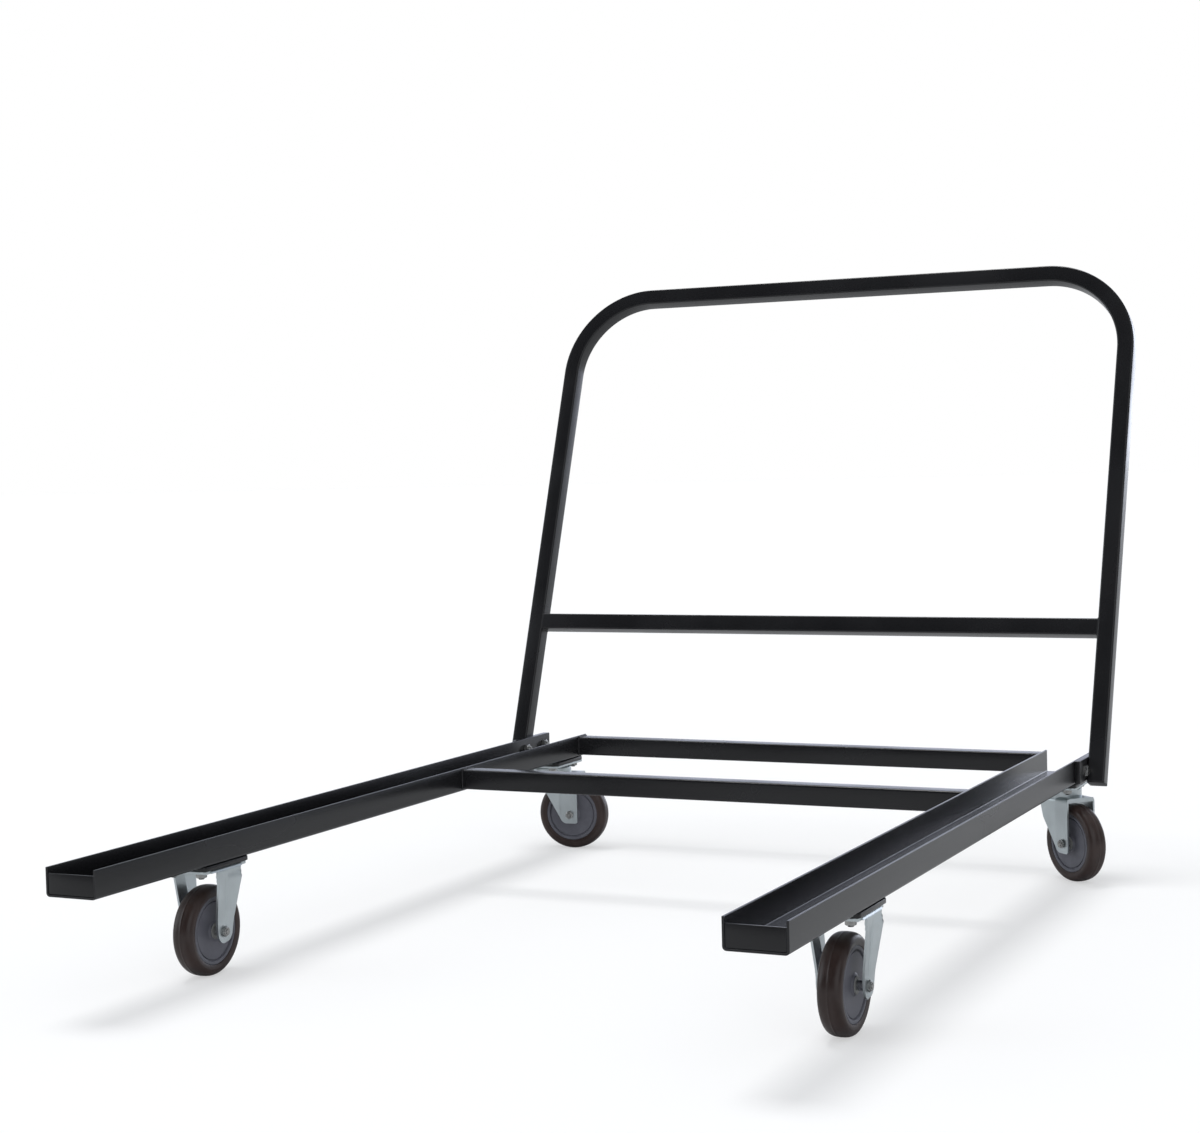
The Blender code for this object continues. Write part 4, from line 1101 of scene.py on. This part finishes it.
for caster in CASTERS:
    seat = seat_frame(caster)
    pad = placed(plate(PAD_WIDTH, PAD_LENGTH, PAD_THICK, PAD_CORNER, PAD_RIM), seat @ shift((0, 0, PAD_LOW)))
    piece(caster + "_mount_pad", pad, "black_coat", "frame", [caster + "_pad"])
    nut_top = PLATE_TOP - CLAMPED[caster] - GAP
    tall = M8["nut"]
    studs = []
    for index, (x, y) in enumerate(box_points(2 * STUD_X, 2 * STUD_Y)):
        down = seat @ shift((x, y, nut_top)) @ UPSIDE_DOWN
        spun = down @ Matrix.Rotation(NUT_SPIN + NUT_SPIN_STEP * index, 4, "Z")
        studs.append(placed(hexagon(M8["flats"], 0, tall, True), spun))
        stud = threaded(M8, nut_top - PAD_LOW - STUD_IN_PAD, tall + STUD_PAST_NUT, tall)
        studs.append(placed(stud, down))
    piece(caster + "_studs", merged(studs), "zinc", "frame", paint=BOLT_ZINC)

# %% [markdown]
# ## Tools for the forks
# Both kinds of fork are pressed from sheet, so they share their tools: a line that is bent at its corners
# and extruded to a sheet, cutting planes that give it the edges a bend needs, an outline that trims it from
# the side as a die does, and round cutters for its holes.

# %% Fork helpers
FOLD = 0.007
BLANK_EXTRA = 0.004
CUTTER_HALF = 0.1
STUD_HOLE = 0.0044
HOLE_LOW = 0.12
HOLE_HIGH = 0.17
FORK_MERGE = 1e-5


def held(value):
    """A value kept between 0 and 1."""
    return min(max(value, 0), 1)


def sheet_from(corners, bends, y_low, y_high):
    """An open sheet in XZ, bent at its corners and extruded along Y."""
    bm = bmesh.new()
    verts = [bm.verts.new((x, y_low, z)) for x, z in corners]
    for pair in zip(verts, verts[1:]):
        bm.edges.new(pair)
    for vert, (radius, steps) in zip(verts[1:-1], bends):
        round_corners(bm, [vert], radius, steps)
    run_straight(bm, bm.edges[:], (0, y_high - y_low, 0))
    return bm


def slice_all(bm, place, normal):
    """Cut every face along a plane, with nothing removed."""
    bmesh.ops.bisect_plane(bm, geom=bm.verts[:] + bm.edges[:] + bm.faces[:], dist=EPS, plane_co=place,
                           plane_no=normal)


def side_cutter(points, corners=()):
    """A solid that keeps what lies inside an outline in Y and Z. A corner is an index, a radius and steps."""
    bm, verts = outline(points)
    for index, radius, steps in corners:
        round_corners(bm, [verts[index]], radius, steps)
    thicken(bm, (0, 0, 2 * CUTTER_HALF))
    return placed(bm, QUARTER_TURN @ STAND_UP @ shift((0, 0, -CUTTER_HALF)))


def stud_holes():
    """Cutters for the four stud holes of a caster plate."""
    return [placed(drill(STUD_HOLE, HOLE_LOW, HOLE_HIGH), shift((x, y, 0)))
            for x, y in box_points(2 * STUD_X, 2 * STUD_Y)]


def axle_hole(y):
    """A cutter along X at the axle."""
    return placed(drill(AXLE_HOLE, -CUTTER_HALF, CUTTER_HALF), shift((0, y, WHEEL_RADIUS)) @ LIE_DOWN)


def put_fork(caster, word, bm, body):
    """Put a finished fork on its caster, with the doubled points of its cuts merged."""
    close_up(bm, FORK_MERGE)
    piece(caster + word, placed(bm, caster_frame(caster, False)), "zinc", body, [caster + "_fork"], sharp=32,
          flat=True)


print("fork helpers ready")

# %% [markdown]
# ## Rigid forks
# A front fork is one blank of sheet folded into a U. Its legs lean in towards the wheel, taper to round
# tips and carry a pressed crease that runs parallel to the front edge and stiffens them. Cutting planes put
# edges along the crease, the sheet is then leaned outwards on both sides of it with a small step between
# them, and Solidify gives it its gauge. Outlines seen from the side and from above trim it.

# %% Rigid fork
RIGID_TOP = 0.038
RIGID_FOOT = 0.029
RIGID_LEG_FRONT = 0.022
RIGID_LEG_REAR = 0.032
RIGID_LEG_AXLE = 0.0160
TIP_DROP = 0.016
TIP_STEPS = 20
KNEE_RISE = 0.014
KNEE_BEND = 0.006
SHOULDER = PLATE_TOP - PLATE_THICK - 0.001
CREASE_STRIP = 0.021
CREASE_LEAN = radians(6)
CREASE_HALF = 0.0024
CREASE_STEP = 0.0016
CREASE_TOP = Vector((0, CREASE_STRIP - RIGID_LEG_FRONT, SHOULDER))
CREASE_LOW = Vector((0, CREASE_STRIP - RIGID_LEG_AXLE, WHEEL_RADIUS))
CREASE_DOWN = (CREASE_LOW - CREASE_TOP).normalized()
CREASE_ACROSS = Vector((0, -CREASE_DOWN.z, CREASE_DOWN.y))
FADE_LOW = SHOULDER - 0.016
FADE_HIGH = SHOULDER - 0.004
PLAN_WIDE = 0.08
PLAN_HIGH = 0.3


def pressed(point):
    """How far the sheet stands outwards at a point: leaned both ways, and stepped up at the crease."""
    away = (point - CREASE_TOP).dot(CREASE_ACROSS)
    rise = held(away / CREASE_HALF * 0.5 + 0.5)
    return abs(away) * tan(CREASE_LEAN) + CREASE_STEP * rise * rise * (3 - 2 * rise)


def rigid_blank():
    """The creased and walled sheet of a rigid fork before its outline is trimmed."""
    low = WHEEL_RADIUS - TIP_DROP - BLANK_EXTRA
    half = [(-RIGID_FOOT, low), (-RIGID_FOOT, WHEEL_RADIUS + KNEE_RISE), (-RIGID_TOP, PLATE_TOP)]
    bends = [(KNEE_BEND, 4), (FOLD, 8), (FOLD, 8), (KNEE_BEND, 4)]
    far = PAD_LENGTH / 2 + BLANK_EXTRA
    bm = sheet_from(half + [(-x, z) for x, z in reversed(half)], bends, -far, far)
    for step in range(-3, 4):
        slice_all(bm, CREASE_TOP + CREASE_ACROSS * step / 3 * CREASE_HALF, CREASE_ACROSS)
    for height in (FADE_LOW, (FADE_LOW + FADE_HIGH) / 2, FADE_HIGH):
        slice_all(bm, (0, 0, height), (0, 0, 1))
    at_axle = pressed(Vector((0, 0, WHEEL_RADIUS)))
    for vert in bm.verts:
        share = held((FADE_HIGH - vert.co.z) / (FADE_HIGH - FADE_LOW))
        lean = (pressed(vert.co) - at_axle) * share
        vert.co.x += lean if vert.co.x > 0 else -lean
    return walled(bm, SHEET)


def rigid_trim():
    """The side outline and the plan outline of a rigid fork."""
    front = atan2(RIGID_LEG_FRONT - RIGID_LEG_AXLE, SHOULDER - WHEEL_RADIUS)
    rear = atan2(RIGID_LEG_REAR - RIGID_LEG_AXLE, SHOULDER - WHEEL_RADIUS)
    angles = [pi + front + (pi - front - rear) * step / TIP_STEPS for step in range(TIP_STEPS + 1)]
    tip = [(RIGID_LEG_AXLE * cos(a), WHEEL_RADIUS + TIP_DROP * sin(a)) for a in angles]
    over, above = PAD_LENGTH / 2 + 0.01, PLATE_TOP + 0.003
    side = side_cutter([(-RIGID_LEG_FRONT, SHOULDER), *tip, (RIGID_LEG_REAR, SHOULDER), (over, SHOULDER),
                        (over, above), (-over, above), (-over, SHOULDER)])
    lip, half, step_y = PAD_WIDTH / 2 - FOLD / 2, PAD_LENGTH / 2, RIGID_LEG_REAR + 0.003
    right = [(lip, -half), (lip, -step_y), (PLAN_WIDE, -step_y), (PLAN_WIDE, step_y), (lip, step_y),
             (lip, half)]
    plan, verts = outline(right + [(-x, -y) for x, y in right])
    ends = [v for v in verts if abs(abs(v.co.y) - half) < EPS]
    round_corners(plan, ends, PAD_CORNER, CORNER_STEPS)
    return [side, thicken(plan, (0, 0, PLAN_HIGH))]


for caster in CASTERS[:2]:
    bm = cut(rigid_blank(), rigid_trim(), "INTERSECT")
    put_fork(caster, "_rigid_fork", cut(bm, stud_holes() + [axle_hole(0)]), "frame")

# %% [markdown]
# ## Swivel forks
# A rear fork is folded from a wider blank. A flat strip of each leg carries the axle, and ahead of it the
# sheet flares out to make room for the wheel. The round cup pressed up from its crown holds the lower ball
# race. The sheet is bent and extruded as before, leaned outwards ahead of the strip with a soft bend between
# them, and trimmed from the side. Cup and rear lip are joined to it.

# %% Swivel fork
CROWN_TOP = 0.1355
SWIVEL_HALF = 0.027
TRAIL = 0.0408
LEG_BACK = TRAIL + 0.014
LEG_FRONT = TRAIL - 0.048
STRIP_FRONT = LEG_BACK - 0.032
LEG_LOW = WHEEL_RADIUS - 0.0155
TRIM_OVER = 0.003
KNEE_Y = 0.041
KNEE_Z = 0.039
TOE_SETBACK = 0.005
TOE_RADIUS = 0.007
HEEL_RADIUS = 0.004
FLARE = radians(15)
FLARE_SOFT = 0.0015
CUP_RADIUS = 0.035
CUP_WALL = 0.0025
CUP_TOP = CROWN_TOP + 0.0105
CUP_ROUND = 0.0015
LIP_DROP = 0.0065
LIP_BELOW = 0.0005
LIP_CORNER = 0.0015
LIP_RIM = 0.0004
FORK_PIN_HOLE = 0.0062


def swivel_blank():
    """The flared and walled sheet of a swivel fork before its outline is trimmed."""
    low = LEG_LOW - BLANK_EXTRA
    corners = [(-SWIVEL_HALF, low), (-SWIVEL_HALF, CROWN_TOP), (SWIVEL_HALF, CROWN_TOP), (SWIVEL_HALF, low)]
    bm = sheet_from(corners, [(FOLD, 8), (FOLD, 8)], LEG_FRONT - BLANK_EXTRA, LEG_BACK + BLANK_EXTRA)
    for step in range(-3, 4):
        slice_all(bm, (0, STRIP_FRONT + step * FLARE_SOFT, 0), (0, 1, 0))
    for vert in bm.verts:
        ahead = STRIP_FRONT - vert.co.y
        lean = (ahead + (ahead ** 2 + FLARE_SOFT ** 2) ** 0.5) / 2 * tan(FLARE)
        vert.co.x *= 1 + lean / SWIVEL_HALF
    return walled(bm, SHEET)


def swivel_trim():
    """The side outline of a swivel fork, with its two lower corners rounded."""
    points = [(LEG_BACK, CROWN_TOP + TRIM_OVER), (LEG_FRONT, CROWN_TOP + TRIM_OVER),
              (LEG_FRONT, CROWN_TOP - SHEET), (TRAIL - KNEE_Y, WHEEL_RADIUS + KNEE_Z),
              (STRIP_FRONT + TOE_SETBACK, LEG_LOW), (LEG_BACK, LEG_LOW)]
    return side_cutter(points, [(4, TOE_RADIUS, 6), (5, HEEL_RADIUS, 5)])


def race_cup():
    """The cup on the crown, with an inner floor that the lower race stands on."""
    inner, low = CUP_RADIUS - CUP_WALL, CROWN_TOP - SHEET - 0.0001
    return turned([(0, low), (CUP_RADIUS - CUP_ROUND, low), (CUP_RADIUS, low + 0.002),
                   (CUP_RADIUS, CUP_TOP - CUP_ROUND), (CUP_RADIUS - 0.0004, CUP_TOP - 0.0004),
                   (CUP_RADIUS - 0.0014, CUP_TOP), (inner, CUP_TOP), (inner, CROWN_TOP + CUP_ROUND),
                   (inner - CUP_ROUND, CROWN_TOP), (0, CROWN_TOP)], 72)


def rear_lip():
    """The short lip folded down across the back of the crown."""
    lip = plate(2 * SWIVEL_HALF - SHEET, LIP_DROP, SHEET, LIP_CORNER, LIP_RIM)
    return placed(lip, shift((0, LEG_BACK, CROWN_TOP - LIP_BELOW - LIP_DROP / 2)) @ STAND_UP)


for caster in CASTERS[2:]:
    bm = cut(swivel_blank(), [swivel_trim()], "INTERSECT")
    bm = cut(bm, [race_cup(), rear_lip()], "UNION")
    bm = cut(bm, [drill(FORK_PIN_HOLE, HOLE_LOW, HOLE_HIGH), axle_hole(TRAIL)])
    put_fork(caster, "_swivel_fork", bm, AXLE_BODY[caster])

# %% [markdown]
# ## Ball races
# The swivel runs on a ring of balls between the fork's cup and a dish pressed down from the bolted plate.
# The dish is turned and joined to the plate, then hollowed for the pin's head. The balls are small, so a
# sphere of two subdivisions each is plenty.

# %% Top plates and races
BALLS = 12
BALL_RADIUS = 0.0035
BALL_CIRCLE = 0.022
RACE_HALF = 0.005
RACE_LOW = CROWN_TOP + GAP
RACE_TOP = RACE_LOW + 0.0022
DIP_HALF = 0.0025
DIP = 0.0008
DISH_LOW = CROWN_TOP + DIP + 2 * BALL_RADIUS + 0.0006
DISH_RADIUS = 0.029
DISH_FOOT = DISH_RADIUS + 0.003
DISH_TOP = PLATE_TOP - 0.0001
PLATE_LOW = PLATE_TOP - PLATE_THICK
PLATE_RIM = 0.0006
PLATE_PIN_HOLE = 0.0061
KING_NUT_TOP = CROWN_TOP - SHEET - 2 * GAP
KING_HEAD = 0.0110
ROOM_RADIUS = 0.0130
ROOM_TOP = PLATE_TOP + 0.001


def top_plate():
    """The bolted plate of a swivel caster with its pressed dish, pin hole and stud holes."""
    flat = plate(PAD_WIDTH, PAD_LENGTH, PLATE_THICK, PAD_CORNER, PLATE_RIM)
    dish = turned([(0, DISH_LOW), (DISH_RADIUS - 0.0006, DISH_LOW), (DISH_RADIUS, DISH_LOW + 0.0006),
                   (DISH_RADIUS + 0.0015, PLATE_LOW - GAP), (DISH_FOOT, PLATE_LOW + 0.0012),
                   (DISH_FOOT, DISH_TOP), (0, DISH_TOP)], 72)
    floor = DISH_LOW + SHEET
    room = turned([(0, floor), (ROOM_RADIUS, floor), (ROOM_RADIUS + 0.0006, ROOM_TOP), (0, ROOM_TOP)], 48)
    joined = cut(placed(flat, shift((0, 0, PLATE_LOW))), [dish], "UNION")
    return cut(joined, [room, drill(PLATE_PIN_HOLE, HOLE_LOW, HOLE_HIGH), *stud_holes()])


def lower_race():
    """The lower race ring with its balls."""
    section = [(RACE_HALF, RACE_TOP), (RACE_HALF, RACE_LOW), (-RACE_HALF, RACE_LOW), (-RACE_HALF, RACE_TOP),
               (-DIP_HALF, RACE_TOP), (0, RACE_TOP - DIP), (DIP_HALF, RACE_TOP)]
    ring = turned([(BALL_CIRCLE + x, z) for x, z in section], 64)
    balls = bmesh.new()
    for index in range(BALLS):
        angle = 2 * pi * index / BALLS
        spot = (BALL_CIRCLE * cos(angle), BALL_CIRCLE * sin(angle), RACE_LOW + DIP + BALL_RADIUS)
        bmesh.ops.create_icosphere(balls, subdivisions=2, radius=BALL_RADIUS, matrix=shift(spot))
    return merged([ring, balls])


def king_pin():
    """The pin's low round head in the dish and its shank down through the crown."""
    low, top = DISH_LOW + SHEET + GAP, PLATE_TOP - GAP
    end, shank = KING_NUT_TOP - M12["nut"] - 0.0015, M12["shank"]
    return turned([(0, end), (shank - 0.001, end), (shank, end + 0.001), (shank, low), (KING_HEAD, low),
                   (KING_HEAD, top - 0.001), (KING_HEAD - 0.001, top), (0, top)], 48)


for caster in CASTERS[2:]:
    seat, pivot = seat_frame(caster), caster_frame(caster, False)
    piece(caster + "_swivel_plate", placed(top_plate(), seat), "zinc", "frame", [caster + "_top_plate"],
          sharp=32, flat=True)
    piece(caster + "_balls", placed(lower_race(), pivot), "steel", AXLE_BODY[caster], [caster + "_ball_race"])
    piece(caster + "_pin", placed(king_pin(), seat), "steel", "frame", [caster + "_king_pin"])
    nut = placed(lock_nut(M12, 0), seat @ shift((0, 0, KING_NUT_TOP)) @ UPSIDE_DOWN)
    piece(caster + "_pin_nut", nut, "zinc", "frame", [caster + "_king_nut"], paint=BOLT_ZINC)
shown = sorted(name for name, node in frame["nodes"].items() if not node.hide_render)
print(len(shown), "packed nodes still show:", shown)
